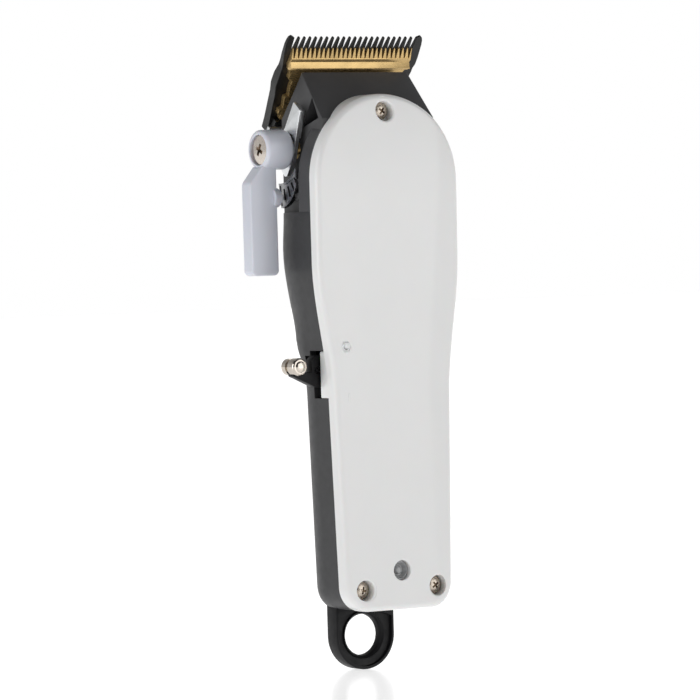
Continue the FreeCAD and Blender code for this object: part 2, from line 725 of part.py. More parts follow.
def blade_bracket():
    """Zinc-plated sheet bracket: a plate on the fixed blade's heel and an ear at the lever."""
    plate = new_body("bracket_plate")
    start, long = size("bracket_start"), size("blade_long")
    half, ear = size("bracket_half"), size("ear_outer")
    inner = ear - size("bracket_sheet")
    wing = size("pad_start") + 1.4
    edges = path((-half, -start), (half, -start), (half, -wing), (half + 3, -wing),
                 (half + 3, -long), (-inner - 0.6, -long), (-inner - 0.6, -wing), (-half, -wing))
    for side in (-1, 1):
        edges += circle((side * size("blade_screw_side"), -size("blade_screw_at")),
                        size("blade_screw_shank"))
    rise = "seat_rise - bracket_gap - bracket_sheet"
    pad(plate, "bracket_plate_pad", sketch(plate, "bracket_plate_plan", "XY_Plane", edges, rise),
        "bracket_sheet")
    lay_on_blade_plane(plate)

    side = new_body("bracket_ear")
    pivot = (-size("lever_depth"), size("lever_level"))
    lean = math.radians(size("blade_lean"))
    along = (math.sin(lean), -math.cos(lean))
    over = (math.cos(lean), math.sin(lean))

    def off_pivot(slide, rise_by):
        """(Y, Z) a distance along the blades and away from the neck, from the pivot."""
        return (pivot[0] + slide * along[0] + rise_by * over[0],
                pivot[1] + slide * along[1] + rise_by * over[1])

    under = size("seat_rise") - size("bracket_gap") - size("bracket_sheet")
    sheet_edge, wing_edge = blade_point(long, under), blade_point(wing, under)
    outline = path((pivot[0] - 3.2, pivot[1] + 13.0), (pivot[0] - 7.4, pivot[1] + 10.8),
                   (pivot[0] - 5.6, pivot[1] - 2.0),
                   ((pivot[0] - 4.2, pivot[1] - 7.6), (pivot[0] - 0.5, pivot[1] - 9.4)),
                   (pivot[0] + 3.4, pivot[1] - 6.4), (pivot[0] + 7.4, pivot[1] + 1.2),
                   sheet_edge, wing_edge, off_pivot(-9.5, 4.2))
    pad(side, "ear_pad", sketch(side, "ear_side", "YZ_Plane", outline, "- ear_outer"),
        "bracket_sheet")
    travel = 2 * size("crank") * math.sin(math.radians(size("lever_sweep") / 2))
    play, hole = size("run_gap") / 3, size("pivot_radius") + size("run_gap")
    shaft_slot = path(off_pivot(-travel, hole), off_pivot(0, hole),
                      (off_pivot(hole, 0), off_pivot(0, -hole)), off_pivot(-travel, -hole),
                      (off_pivot(-travel - hole, 0), off_pivot(-travel, hole)))
    pocket(side, "shaft_slot", sketch(side, "shaft_slot_side", "YZ_Plane", shaft_slot,
                                      "- ear_outer - 1"), "bracket_sheet + 2", back=True)
    pin = size("crank_pin") + play
    reach = size("crank") + pin + play
    pin_slot = path(off_pivot(-travel / 2 - pin, hole - 1), off_pivot(-travel / 2 + pin, hole - 1),
                    off_pivot(-travel / 2 + pin, reach), off_pivot(-travel / 2 - pin, reach))
    pocket(side, "pin_slot", sketch(side, "pin_slot_side", "YZ_Plane", pin_slot,
                                    "- ear_outer - 1"), "bracket_sheet + 2", back=True)
    return named(joined("bracket_whole", plate, side), "blade_bracket")


def blade_screws():
    """Two screws from the sole of the fixed blade into the bracket."""
    turn = Rotation(Vector(1, 0, 0), 90 + size("blade_lean"))
    screws = []
    for number, side in enumerate((-1, 1)):
        start = turn.multVec(Vector(side * size("blade_screw_side"), -size("blade_screw_at"),
                                    -size("blade_thick") - 1.5))
        at = start + Vector(0, -size("tip_depth"), size("tip_level"))
        screws.append(screw(f"blade_screw_{number}", 2.8, 1.5, size("blade_screw_shank"),
                            size("blade_thick") + size("seat_rise") - size("bracket_gap"),
                            at, turn))
    return named(group("blade_screw_pair", *screws), "blade_screws")


def tension_spring():
    """Sprung steel fork on the bracket that presses the cutter down on both sides."""
    body = new_body("tension_spring")
    outer, arm = size("bracket_half") - 1.5, 2.0
    near, far = size("bracket_start"), size("bracket_start") - 6.0
    plan = path((-outer, -near), (-outer, -far), ((arm / 2 - outer, -far + arm / 2),
                                                  (arm - outer, -far)),
                (arm - outer, -near + 1.6), (outer - arm, -near + 1.6), (outer - arm, -far),
                ((outer - arm / 2, -far + arm / 2), (outer, -far)), (outer, -near))
    pad(body, "spring_pad", sketch(body, "spring_plan", "XY_Plane", plan,
                                   "blade_film + cutter_thick + run_gap"), "0.5")
    return named(lay_on_blade_plane(body), "tension_spring")


def drive_fork():
    """White fork on the cutter, with the slot that the drive pin works in."""
    side_body = new_body("fork_stem")
    rise = size("blade_film") + size("cutter_thick")
    high, low = blade_point(13.6, rise), blade_point(17.0, rise)
    base = size("pin_top") + size("run_gap")
    middle = -size("motor_depth")
    stem = path((middle - 2.2, base), (middle - 2.2, base + 2.2), (high[0] - 1.3, base + 2.2),
                high, low, (low[0] - 0.6, base))
    pad(side_body, "fork_stem_pad", sketch(side_body, "fork_stem_side", "YZ_Plane", stem),
        "2 * fork_half - 2", middle=True)
    side_body.Placement = Placement(Vector(-size("stroke") / 2, 0, 0), Rotation())
    prongs = []
    for name, corner in (("left", "- fork_half - stroke / 2 + 0.4"),
                         ("right", "fork_half - stroke / 2 - 2.0")):
        prongs.append(box(f"fork_prong_{name}", ("1.6", "5.4", "5"),
                          (corner, "- motor_depth - 2.2", "pin_top + run_gap - 4.6")))
    return named(joined("fork_whole", side_body, *prongs), "drive_fork")


# ---------------------------------------------------------------- taper lever

def ring_sector(name, inner, outer, thick, start, low_angle, high_angle):
    """Plate ring about the pivot, kept between two angles from straight down to the front."""
    disc = rod(name + "_disc", outer, thick, (start, "- lever_depth", "lever_level"), "-X")
    bore = rod(name + "_bore", inner, f"{thick} + 2",
               (f"{start} + 1", "- lever_depth", "lever_level"), "-X")
    reach = 40.0
    body = new_body(name + "_keep")
    pivot = (-size("lever_depth"), size("lever_level"))

    def ray(angle):
        """Far point in the direction that many degrees forward of straight down."""
        turn = math.radians(angle)
        return pivot[0] - reach * math.sin(turn), pivot[1] - reach * math.cos(turn)

    wedge = path(pivot, ray(low_angle), ray((low_angle + high_angle) / 2), ray(high_angle))
    pad(body, name + "_wedge", sketch(body, name + "_wedge_side", "YZ_Plane", wedge,
                                      "- handle_outer"), "handle_outer")
    keep = doc.addObject("Part::Common", name + "_common")
    keep.Base, keep.Tool = cut(name + "_ring", disc, bore), body
    return keep


def detent_ring():
    """Plated quadrant with radial slots, trimmed behind the neck's shoulder."""
    sector = ring_sector("quadrant", "ring_inner_radius", "ring_outer_radius", "ring_thick",
                         "- ring_face + ring_thick", -14, 75)
    front = box("detent_front", ("8", "20", "60"),
                ("- ring_face - 4", "- split_depth + shoulder_deep + run_gap - 20",
                 "lever_level - 30"))
    body = new_body("detent_slots")
    count = int(size("ring_slots"))
    inner, outer = size("ring_inner_radius") + 1.6, size("ring_outer_radius") - 2.6
    edges = []
    for number in range(count):
        turn = math.radians(-6 + number * 11)
        out = (-math.sin(turn), -math.cos(turn))
        side = (math.cos(turn) * 0.45, -math.sin(turn) * 0.45)
        pivot = (-size("lever_depth"), size("lever_level"))

        def corner(radius, sign):
            """Corner of this slot at a radius."""
            return (pivot[0] + radius * out[0] + sign * side[0],
                    pivot[1] + radius * out[1] + sign * side[1])

        edges += path(corner(inner, -1), corner(outer, -1), corner(outer, 1), corner(inner, 1))
    pad(body, "detent_slot_pad", sketch(body, "detent_slot_side", "YZ_Plane", edges,
                                        "- ring_face - 1"), "ring_thick + 2")
    return named(cut("quadrant_cut", sector, front, body), "detent_ring")


def taper_lever():
    """Pale lever: round hub, offset flat handle and a nub that rides the detent ring."""
    body = new_body("lever_handle")
    level, inner, outer = size("lever_level"), size("handle_inner"), size("handle_outer")
    end = level - size("handle_end")
    edges = path((-outer, end + 1.2), ((-outer + 0.35, end + 0.35), (-outer + 1.2, end)),
                 (-inner - 1.2, end), ((-inner - 0.35, end + 0.35), (-inner, end + 1.2)),
                 (-inner, level - 1), (-size("hub_outer"), level - 1),
                 (-size("hub_outer"), level - 4.4), (-outer, level - 8.4))
    pad(body, "handle_pad", sketch(body, "handle_front", "XZ_Plane", edges, "lever_depth"),
        "handle_deep", middle=True)
    centre = ("- lever_depth", "lever_level")
    hub = rod("lever_hub", "hub_radius", "hub_outer - hub_inner", ("- hub_inner", *centre), "-X")
    nub = rod("lever_nub", "nub_radius", "handle_inner - nub_inner + 0.5",
              ("- nub_inner", "- lever_depth", "lever_level - nub_below"), "-X")
    bore = rod("lever_bore", "pivot_radius + 0.06", "20", ("- hub_inner + 2", *centre), "-X")
    sink = rod("lever_sink", "pivot_head + run_gap", "6", ("- hub_outer + 2.6", *centre), "-X")
    pin_hole = rod("lever_pin_hole", "crank_pin", "2.6", ("- hub_inner + 0.6", *crank_centre()), "-X")
    return named(cut("lever_cut", joined("lever_whole", body, hub, nub), bore, sink, pin_hole),
                 "taper_lever")


def crank_centre():
    """(Y, Z) expressions of the eccentric pin with the lever open, half a sweep early."""
    turn = math.radians(size("blade_lean") + size("lever_sweep") / 2)
    return (f"- lever_depth + crank * {math.cos(turn):.6f}",
            f"lever_level + crank * {math.sin(turn):.6f}")


def eccentric_pin():
    """Steel pin in the hub's inner face that pushes the bracket."""
    pin = rod("eccentric_pin", "crank_pin", "hub_inner - ear_outer + bracket_sheet + 2.3",
              ("- ear_outer + bracket_sheet + 0.3", *crank_centre()), "-X")
    return named(pin, "eccentric_pin")


def lever_screw():
    """Pivot screw through the lever's hub into the neck's insert."""
    at = (-size("hub_outer") + 0.3, -size("lever_depth"), size("lever_level"))
    long = size("hub_outer") - size("neck_half") - 2.0 + 6.0
    body = screw("lever_screw", size("pivot_head"), 2.0, size("pivot_radius"), long, at,
                 Rotation(Vector(0, 1, 0), 90))
    return named(body, "lever_screw")


def pivot_insert():
    """Brass insert in the neck that takes the lever's screw."""
    centre = ("- lever_depth", "lever_level")
    sleeve = rod("insert_sleeve", "pivot_radius + 1.0", "6", ("- neck_half + 0.1", *centre), "+X")
    hole = rod("insert_hole", "pivot_radius", "8", ("- neck_half - 1", *centre), "+X")
    return named(cut("insert_cut", sleeve, hole), "pivot_insert")


# ---------------------------------------------------------------- power switch

def switch_arm():
    """Black gusset arm from the slide switch out through the housing's window."""
    body = new_body("switch_arm")
    level, half = size("switch_level"), size("knob_radius")
    wall = half_width(level)
    top = size("slot_top") - size("run_gap") - 0.1
    inner, tip, seat = size("board_half") + size("run_gap") - 0.1, size("arm_tip"), level - half
    edges = path((-inner, level - 5.8), (-wall - 0.4, level - 5.8), (-tip, seat - 0.1),
                 (-tip, seat + 0.8), (-size("arm_web"), seat + 0.8),
                 (-size("arm_web"), level + half * 0.7), (-wall - 0.3, top),
                 (-inner, top))
    pad(body, "arm_pad", sketch(body, "arm_front", "XZ_Plane", edges, "switch_depth"),
        "arm_thick", middle=True)
    return named(body, "switch_arm")


def switch_knob():
    """Turned and plated thumb knob: a domed front, a barrel, a groove and a collar."""
    body = new_body("switch_knob")
    r, long = size("knob_radius"), size("knob_long")
    turned(body, "knob_turned", (
        (0, 0), ((r * 0.35, long * 0.02), (r * 0.62, long * 0.08)), (r * 0.7, long * 0.08),
        ((r * 0.91, long * 0.12), (r, long * 0.22)), (r, long * 0.5), (r * 0.83, long * 0.52),
        (r * 0.83, long * 0.68), (r * 0.94, long * 0.7), (r * 0.94, long * 0.95),
        (r * 0.8, long), (0, long)))
    notch_half = size("arm_thick") / 2 + size("fit_gap")
    slot = sketch(body, "knob_slot_plan", "XY_Plane",
                  rectangle(size("knob_out") - size("arm_tip") - 0.2, r + 1, r - 1.05, r + 1),
                  "knob_long / 2")
    item = pocket(body, "knob_slot", slot, f"{2 * notch_half:.3f}", middle=True)
    body.Tip = item
    body.Placement = Placement(Vector(-size("knob_out"), -size("switch_depth") - long / 2,
                                      size("switch_level")),
                               Rotation(Vector(1, 0, 0), -90))
    return named(body, "switch_knob")


def slide_switch():
    """Slide switch on the board beside the window."""
    case = box("slide_switch", ("5", "4", "9"),
               ("- board_half + 0.1", "- board_face + board_thick", "switch_level - 5.5"))
    return named(case, "slide_switch")


# ---------------------------------------------------------------- motor and drive

def motor_can():
    """Steel motor can with a boss at its front end."""
    start = ("0", "- motor_depth", "motor_top - motor_long")
    can = rod("can_body", "motor_radius", "motor_long", start)
    nose = rod("can_nose", "3", "1.8", ("0", "- motor_depth", "motor_top"))
    hole = rod("can_hole", "shaft_radius + shaft_play", "motor_long + 4",
               ("0", "- motor_depth", "motor_top - motor_long + 4"))
    return named(cut("motor_can", joined("can_whole", can, nose), hole), "motor_can")


def motor_mount():
    """Plastic plate that clamps the motor in the rear housing."""
    half = half_width(size("motor_top") - 16) - size("cover_overhang") - size("wall") - 0.6
    plate = box("mount_plate", (f"{2 * half:.3f}", "side_flat", "7"),
                (f"{-half:.3f}", "- split_depth + 1", "motor_top - 16"))
    hole = rod("mount_hole", "motor_radius + fit_gap", "20",
               ("0", "- motor_depth", "motor_top - 20"))
    return named(cut("motor_mount", plate, hole), "motor_mount")


def motor_shaft():
    """Ground steel shaft."""
    return named(rod("motor_shaft", "shaft_radius", "shaft_top - motor_top + motor_long - 6",
                     ("0", "- motor_depth", "motor_top - motor_long + 6")), "motor_shaft")


def eccentric_cam():
    """Balanced cam on the shaft with the offset drive pin."""
    drum = rod("cam_drum", "cam_radius", "cam_top - cam_base", ("0", "- motor_depth", "cam_base"))
    bore = rod("cam_bore", "shaft_radius", "shaft_top - cam_base + 1.1",
               ("0", "- motor_depth", "cam_base - 1"))
    pin = rod("cam_pin", "drive_pin", "pin_top - cam_top + 0.5",
              ("0", "- motor_depth - throw", "cam_top - 0.5"))
    return named(joined("eccentric_cam", cut("cam_drilled", drum, bore), pin), "eccentric_cam")


# ---------------------------------------------------------------- electrics

def battery_cell():
    """Lithium cell with a raised positive end."""
    start = ("0", "- board_face + board_thick + cell_radius + cell_play", "cell_base")
    case = rod("cell_case", "cell_radius", "cell_long", start)
    nipple = rod("cell_nipple", "2.6", "1.0", (*start[:2], "cell_base + cell_long"))
    return named(joined("battery_cell", case, nipple), "battery_cell")


def battery_tabs():
    """Two nickel tabs at the ends of the cell."""
    back = "- board_face + board_thick"
    low = box("tab_low", ("5", "cell_radius + 3", "0.3"), ("-2.5", back, "cell_base - 0.3"))
    high = box("tab_high", ("5", "cell_radius + 3", "0.3"),
               ("-2.5", back, "cell_base + cell_long + 1.0"))
    return named(group("battery_tabs", low, high), "battery_tabs")


def circuit_board():
    """Control board behind the cover."""
    board = box("board_blank", ("2 * board_half", "board_thick", "board_top - board_base"),
                ("- board_half", "- board_face", "board_base"))
    clear = [rod(f"board_clear_{side}", "screw_shank + 1.6 + fit_gap", "9",
                 (f"{side} * tail_screw_side", "- split_depth - 1", "tail_screw_level"), "+Y")
             for side in (-1, 1)]
    return named(cut("board_cut", board, *clear), "circuit_board")


def charging_socket():
    """Small charging socket in the tail wall, with its contact tongue."""
    half, deep = size("socket_half"), size("socket_deep") / 2
    body = new_body("charging_socket")

    def stadium(x, y):
        """Rounded slot outline, half its length and half its width."""
        return path((y - x, -y), (x - y, -y), ((x, 0), (x - y, y)), (y - x, y),
                    ((-x, 0), (y - x, -y)))

    at = "body_bottom + 0.1"
    pad(body, "socket_shell", sketch(body, "socket_plan", "XY_Plane", stadium(half, deep), at),
        "socket_long")
    hollow = sketch(body, "socket_hollow_plan", "XY_Plane",
                    stadium(half - 0.35, deep - 0.35) + rectangle(-3.3, 3.3, -0.35, 0.35), at)
    item = pocket(body, "socket_hollow", hollow, "socket_long - 1", back=True)
    body.Tip = item
    body.Placement = Placement(Vector(0, -size("socket_depth"), 0), Rotation())
    return named(body, "charging_socket")


def led_lens():
    """Smoke-clear lens in the cover."""
    body = new_body("led_lens")
    r, sag, flange = size("lens_radius"), 0.65, size("lens_flange")
    tip = size("split_depth") + size("cover_rise") - size("lens_sunk") - size("lens_base")
    turned(body, "lens_turned", (
        (0, 0), (r + 0.9, 0), (r + 0.9, flange), (r, flange), (r, tip - sag),
        ((r * 0.6, tip - dome_fall(r, sag, r * 0.6)), (0, tip))))
    body.Placement = Placement(Vector(0, -size("lens_base"), size("lens_level")),
                               Rotation(Vector(1, 0, 0), 90))
    return named(body, "led_lens")


def status_led():
    """Indicator lamp on the board."""
    return named(rod("status_led", "1.5", "lens_base - 0.3 - board_face",
                     ("0", "- board_face", "lens_level"), "-Y"), "status_led")


def housing_screws():
    """Three screws that hold the cover to the rear housing and the neck."""
    facing = Rotation(Vector(1, 0, 0), -90)
    split = size("split_depth")
    places = ((-size("tail_screw_side"), "tail_head_front", "tail_screw_level"),
              (size("tail_screw_side"), "tail_head_front", "tail_screw_level"),
              (0.0, "top_head_front", "top_screw_level"))
    screws = [screw(f"housing_screw_{number}", size("screw_head"), size("screw_head_deep"),
                    size("screw_shank"), size("screw_long"),
                    (side, -split - size(front), size(level)), facing)
              for number, (side, front, level) in enumerate(places)]
    return named(group("housing_screw_set", *screws), "housing_screws")


# ---------------------------------------------------------------- build, check and write

def check(items):
    """Stop unless every object is sound and every sub-part is a valid shape."""
    faults = [item.Name for item in doc.Objects
              if "Invalid" in item.State or "Error" in item.State]
    for item in items:
        if item.Shape.isNull() or not item.Shape.isValid() or not item.Shape.Solids:
            faults.append(item.Label)
    if faults:
        raise RuntimeError("failed: " + ", ".join(faults))


SUB_PARTS = (
    front_cover, rear_housing, neck_housing, hanging_loop, housing_screws, led_lens,
    status_led, circuit_board, slide_switch, charging_socket, battery_cell, battery_tabs,
    motor_can, motor_mount, motor_shaft, eccentric_cam, moving_blade, drive_fork,
    stationary_blade, blade_bracket, blade_screws, tension_spring, taper_lever, eccentric_pin,
    lever_screw, pivot_insert, detent_ring, switch_arm, switch_knob,
)

pieces = [make() for make in SUB_PARTS]
doc.recompute()
check(pieces)
os.makedirs("parts", exist_ok=True)
for piece in pieces:
    piece.Shape.exportStep(f"parts/{piece.Label}.step")
    print(f"{piece.Label}: {len(piece.Shape.Solids)} solid(s), {piece.Shape.Volume:.1f} mm3")
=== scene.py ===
"""Outside looks of a cordless hair clipper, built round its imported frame.

Lengths in the classes are millimetres in the frame's own axes: +Z towards the blades, -Y out of
the front cover, +X to the right, origin in the eye of the hanging loop.
"""

import logging
import math
from collections.abc import Callable, Iterable, Sequence
from dataclasses import dataclass, field
from enum import Enum

import bmesh
import bpy
from bmesh.types import BMEdge, BMesh, BMFace, BMVert
from mathutils import Matrix, Vector


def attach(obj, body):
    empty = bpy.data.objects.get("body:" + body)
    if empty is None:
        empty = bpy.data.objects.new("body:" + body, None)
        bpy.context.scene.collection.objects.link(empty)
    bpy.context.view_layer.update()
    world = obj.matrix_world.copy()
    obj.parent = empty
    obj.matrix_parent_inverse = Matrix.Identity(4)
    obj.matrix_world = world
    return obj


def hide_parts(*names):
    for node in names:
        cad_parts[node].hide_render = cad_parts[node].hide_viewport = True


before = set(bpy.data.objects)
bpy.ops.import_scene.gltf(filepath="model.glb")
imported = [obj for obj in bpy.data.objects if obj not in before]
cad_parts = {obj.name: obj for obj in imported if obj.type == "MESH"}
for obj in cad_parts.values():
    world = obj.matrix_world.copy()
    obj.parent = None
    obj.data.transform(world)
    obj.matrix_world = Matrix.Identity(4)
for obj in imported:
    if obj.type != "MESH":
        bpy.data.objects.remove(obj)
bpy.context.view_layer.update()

MM = 0.001
Tone = tuple[float, float, float]
Spot = tuple[float, float, float]
Flat = tuple[float, float]

log = logging.getLogger("clipper")


# ------------------------------------------------------------------ finishes

class Wiring:
    """The node tree of one material, with short ways to add the nodes that finishes use."""

    def __init__(self, title: str) -> None:
        """Start a material with an empty tree and its Object coordinates.

        Args:
            title: Name of the material.
        """
        self.material = bpy.data.materials.new(title)
        self.material.use_nodes = True
        self.tree = self.material.node_tree
        self.tree.nodes.clear()
        self.shader = self.tree.nodes.new("ShaderNodeBsdfPrincipled")
        outlet = self.tree.nodes.new("ShaderNodeOutputMaterial")
        self.join(self.shader.outputs["BSDF"], outlet.inputs["Surface"])
        self.place = self.tree.nodes.new("ShaderNodeTexCoord").outputs["Object"]

    def join(self, source: bpy.types.NodeSocket, target: bpy.types.NodeSocket) -> None:
        """Link two sockets."""
        self.tree.links.new(source, target)

    def stretched(self, across: Spot) -> bpy.types.NodeSocket:
        """Object coordinates scaled by a factor on each axis.

        Args:
            across: Factors for X, Y and Z.

        Returns:
            The scaled vector.
        """
        node = self.tree.nodes.new("ShaderNodeMapping")
        node.inputs["Scale"].default_value = across
        self.join(self.place, node.inputs["Vector"])
        return node.outputs["Vector"]

    def clouds(self, size_mm: float, detail: float = 3.0,
               place: bpy.types.NodeSocket | None = None) -> bpy.types.NodeSocket:
        """Soft noise with spots of a given size.

        Args:
            size_mm: Size of a spot in millimetres.
            detail: Octaves of finer noise.
            place: Coordinates, or None for the plain ones.

        Returns:
            The noise factor.
        """
        node = self.tree.nodes.new("ShaderNodeTexNoise")
        node.inputs["Scale"].default_value = 1.0 / (size_mm * MM)
        node.inputs["Detail"].default_value = detail
        self.join(place or self.place, node.inputs["Vector"])
        return node.outputs["Fac"]

    def cells(self, size_mm: float) -> bpy.types.NodeSocket:
        """Random tone for each cell of a crystal pattern.

        Args:
            size_mm: Size of a crystal in millimetres.

        Returns:
            The cells' colours.
        """
        node = self.tree.nodes.new("ShaderNodeTexVoronoi")
        node.inputs["Scale"].default_value = 1.0 / (size_mm * MM)
        self.join(self.place, node.inputs["Vector"])
        return node.outputs["Color"]

    def spread(self, source: bpy.types.NodeSocket, low: float, high: float,
               start: float = 0.3, end: float = 0.7) -> bpy.types.NodeSocket:
        """Map part of a factor to a range.

        Args:
            source: Factor to map.
            low: Result at the start.
            high: Result at the end.
            start: Factor that gives low.
            end: Factor that gives high.

        Returns:
            The mapped value.
        """
        node = self.tree.nodes.new("ShaderNodeMapRange")
        node.inputs["From Min"].default_value = start
        node.inputs["From Max"].default_value = end
        node.inputs["To Min"].default_value = low
        node.inputs["To Max"].default_value = high
        self.join(source, node.inputs["Value"])
        return node.outputs["Result"]

    def between(self, share: bpy.types.NodeSocket, first: Tone, second: Tone) -> bpy.types.NodeSocket:
        """Blend two tones by a factor.

        Args:
            share: Blend factor.
            first: Tone at 0.
            second: Tone at 1.

        Returns:
            The blended colour.
        """
        node = self.tree.nodes.new("ShaderNodeMix")
        node.data_type = "RGBA"
        node.inputs[6].default_value = (*first, 1.0)
        node.inputs[7].default_value = (*second, 1.0)
        self.join(share, node.inputs[0])
        return node.outputs[2]

    def relief(self, height: bpy.types.NodeSocket, depth_mm: float, strength: float,
               over: bpy.types.NodeSocket | None = None) -> bpy.types.NodeSocket:
        """Turn a height into a bumped normal.

        Args:
            height: Height factor.
            depth_mm: Depth of the relief in millimetres.
            strength: Share of it that shows.
            over: Normal to add it to.

        Returns:
            The bumped normal.
        """
        node = self.tree.nodes.new("ShaderNodeBump")
        node.inputs["Strength"].default_value = strength
        node.inputs["Distance"].default_value = depth_mm * MM
        self.join(height, node.inputs["Height"])
        if over is not None:
            self.join(over, node.inputs["Normal"])
        return node.outputs["Normal"]

    def set(self, **values: float | tuple) -> None:
        """Set plain values on the shader's own sockets, with _ for a space in their names."""
        for name, value in values.items():
            self.shader.inputs[name.replace("_", " ")].default_value = value

    def feed(self, name: str, source: bpy.types.NodeSocket) -> None:
        """Link a source to one of the shader's sockets."""
        self.join(source, self.shader.inputs[name])


def shaded(tone: Tone, share: float) -> Tone:
    """A tone made lighter (above 1) or darker (below 1)."""
    return tuple(min(1.0, part * share) for part in tone)


@dataclass(frozen=True)
class Finish:
    """What every finish has: a title, a tone, a roughness and how much each varies."""

    title: str
    tone: Tone
    rough: float
    uneven: float = 0.04
    rough_swing: float = 0.06

    def material(self) -> bpy.types.Material:
        """Build the material, or return the one that this finish already has.

        Returns:
            The material.
        """
        name = self.title + "_surface"
        ready = bpy.data.materials.get(name)
        if ready is not None:
            return ready
        wiring = Wiring(name)
        self.wire(wiring)
        wiring.material.diffuse_color = (*self.tone, 1.0)
        return wiring.material

    def wire(self, wiring: Wiring) -> None:
        """Tone and roughness that drift slowly over the surface.

        Args:
            wiring: Tree to fill.
        """
        drift = wiring.clouds(9.0, 2.0)
        wiring.feed("Base Color", wiring.between(
            wiring.spread(drift, 0.0, 1.0), shaded(self.tone, 1 - self.uneven),
            shaded(self.tone, 1 + self.uneven)))
        scuffs = wiring.clouds(2.2, 5.0)
        wiring.feed("Roughness", wiring.spread(scuffs, max(0.02, self.rough - self.rough_swing),
                                               self.rough + self.rough_swing))


@dataclass(frozen=True)
class Moulding(Finish):
    """Moulded plastic: a fine spark-eroded grain or a nearly smooth polish, with faint flow."""

    grain_mm: float = 0.18
    grain_depth: float = 0.012
    gloss: float = 0.5
    coat: float = 0.0
    flow: float = 0.15
    glow: float = 0.0

    def wire(self, wiring: Wiring) -> None:
        """Add grain, a wider waviness and an optional clear skin.

        Args:
            wiring: Tree to fill.
        """
        Finish.wire(self, wiring)
        wave = wiring.relief(wiring.clouds(6.0, 1.0), 0.02, self.flow)
        wiring.feed("Normal", wiring.relief(wiring.clouds(self.grain_mm, 2.0), self.grain_depth,
                                            0.6, wave))
        wiring.set(Specular_IOR_Level=self.gloss, Coat_Weight=self.coat, Coat_Roughness=0.12)
        if self.glow > 0:
            wiring.set(Subsurface_Weight=self.glow, Subsurface_Scale=0.002)


class Grain(Enum):
    """The way that a metal's grinding lines run, as factors for the noise on each axis."""

    ACROSS = (0.04, 1.0, 1.0)
    UPRIGHT = (1.0, 1.0, 0.04)
    DEEP = (1.0, 0.04, 1.0)
    NONE = (1.0, 1.0, 1.0)


@dataclass(frozen=True)
class GroundMetal(Finish):
    """Ground, tumbled or coated metal with fine lines and a few darker stains."""

    grain: Grain = Grain.ACROSS
    line_mm: float = 0.12
    line_depth: float = 0.006
    stain: float = 0.12
    metal: float = 1.0

    def wire(self, wiring: Wiring) -> None:
        """Add lines to the tone, the roughness and the relief.

        Args:
            wiring: Tree to fill.
        """
        lines = wiring.clouds(self.line_mm, 3.0, wiring.stretched(self.grain.value))
        stains = wiring.clouds(3.0, 6.0)
        worn = wiring.between(wiring.spread(stains, 0.0, 1.0, 0.45, 0.8), self.tone,
                              shaded(self.tone, 1 - self.stain))
        node = wiring.tree.nodes.new("ShaderNodeMix")
        node.data_type = "RGBA"
        node.blend_type = "MULTIPLY"
        node.inputs[0].default_value = 1.0
        wiring.join(worn, node.inputs[6])
        wiring.join(wiring.between(wiring.spread(lines, 0.0, 1.0), shaded((1, 1, 1), 1 - self.uneven),
                                   (1.0, 1.0, 1.0)), node.inputs[7])
        wiring.feed("Base Color", node.outputs[2])
        wiring.feed("Roughness", wiring.spread(lines, max(0.03, self.rough - self.rough_swing),
                                               self.rough + self.rough_swing))
        wiring.feed("Normal", wiring.relief(lines, self.line_depth, 0.5))
        wiring.set(Metallic=self.metal)


@dataclass(frozen=True)
class Spangle(Finish):
    """Zinc plating, whose crystals reflect each a little differently."""

    crystal_mm: float = 0.9

    def wire(self, wiring: Wiring) -> None:
        """Give each crystal its own tone and roughness.

        Args:
            wiring: Tree to fill.
        """
        split = wiring.tree.nodes.new("ShaderNodeSeparateColor")
        wiring.join(wiring.cells(self.crystal_mm), split.inputs["Color"])
        fine = wiring.clouds(0.25, 4.0)
        wiring.feed("Base Color", wiring.between(
            wiring.spread(split.outputs[0], 0.0, 1.0, 0.0, 1.0), shaded(self.tone, 1 - self.uneven),
            shaded(self.tone, 1 + self.uneven)))
        wiring.feed("Roughness", wiring.spread(
            split.outputs[1], self.rough - self.rough_swing, self.rough + self.rough_swing, 0, 1))
        wiring.feed("Normal", wiring.relief(fine, 0.006, 0.3))
        wiring.set(Metallic=1.0)


@dataclass(frozen=True)
class ClearLens(Finish):
    """Smoked clear plastic that shows a little of what lies behind it."""

    clear: float = 0.55

    def wire(self, wiring: Wiring) -> None:
        """Let light through, with a faint moulded swirl.

        Args:
            wiring: Tree to fill.
        """
        Finish.wire(self, wiring)
        wiring.feed("Normal", wiring.relief(wiring.clouds(0.8, 2.0), 0.01, 0.2))
        wiring.set(Transmission_Weight=self.clear, IOR=1.49, Coat_Weight=0.6, Coat_Roughness=0.04)


# ------------------------------------------------------------------ shared mesh work

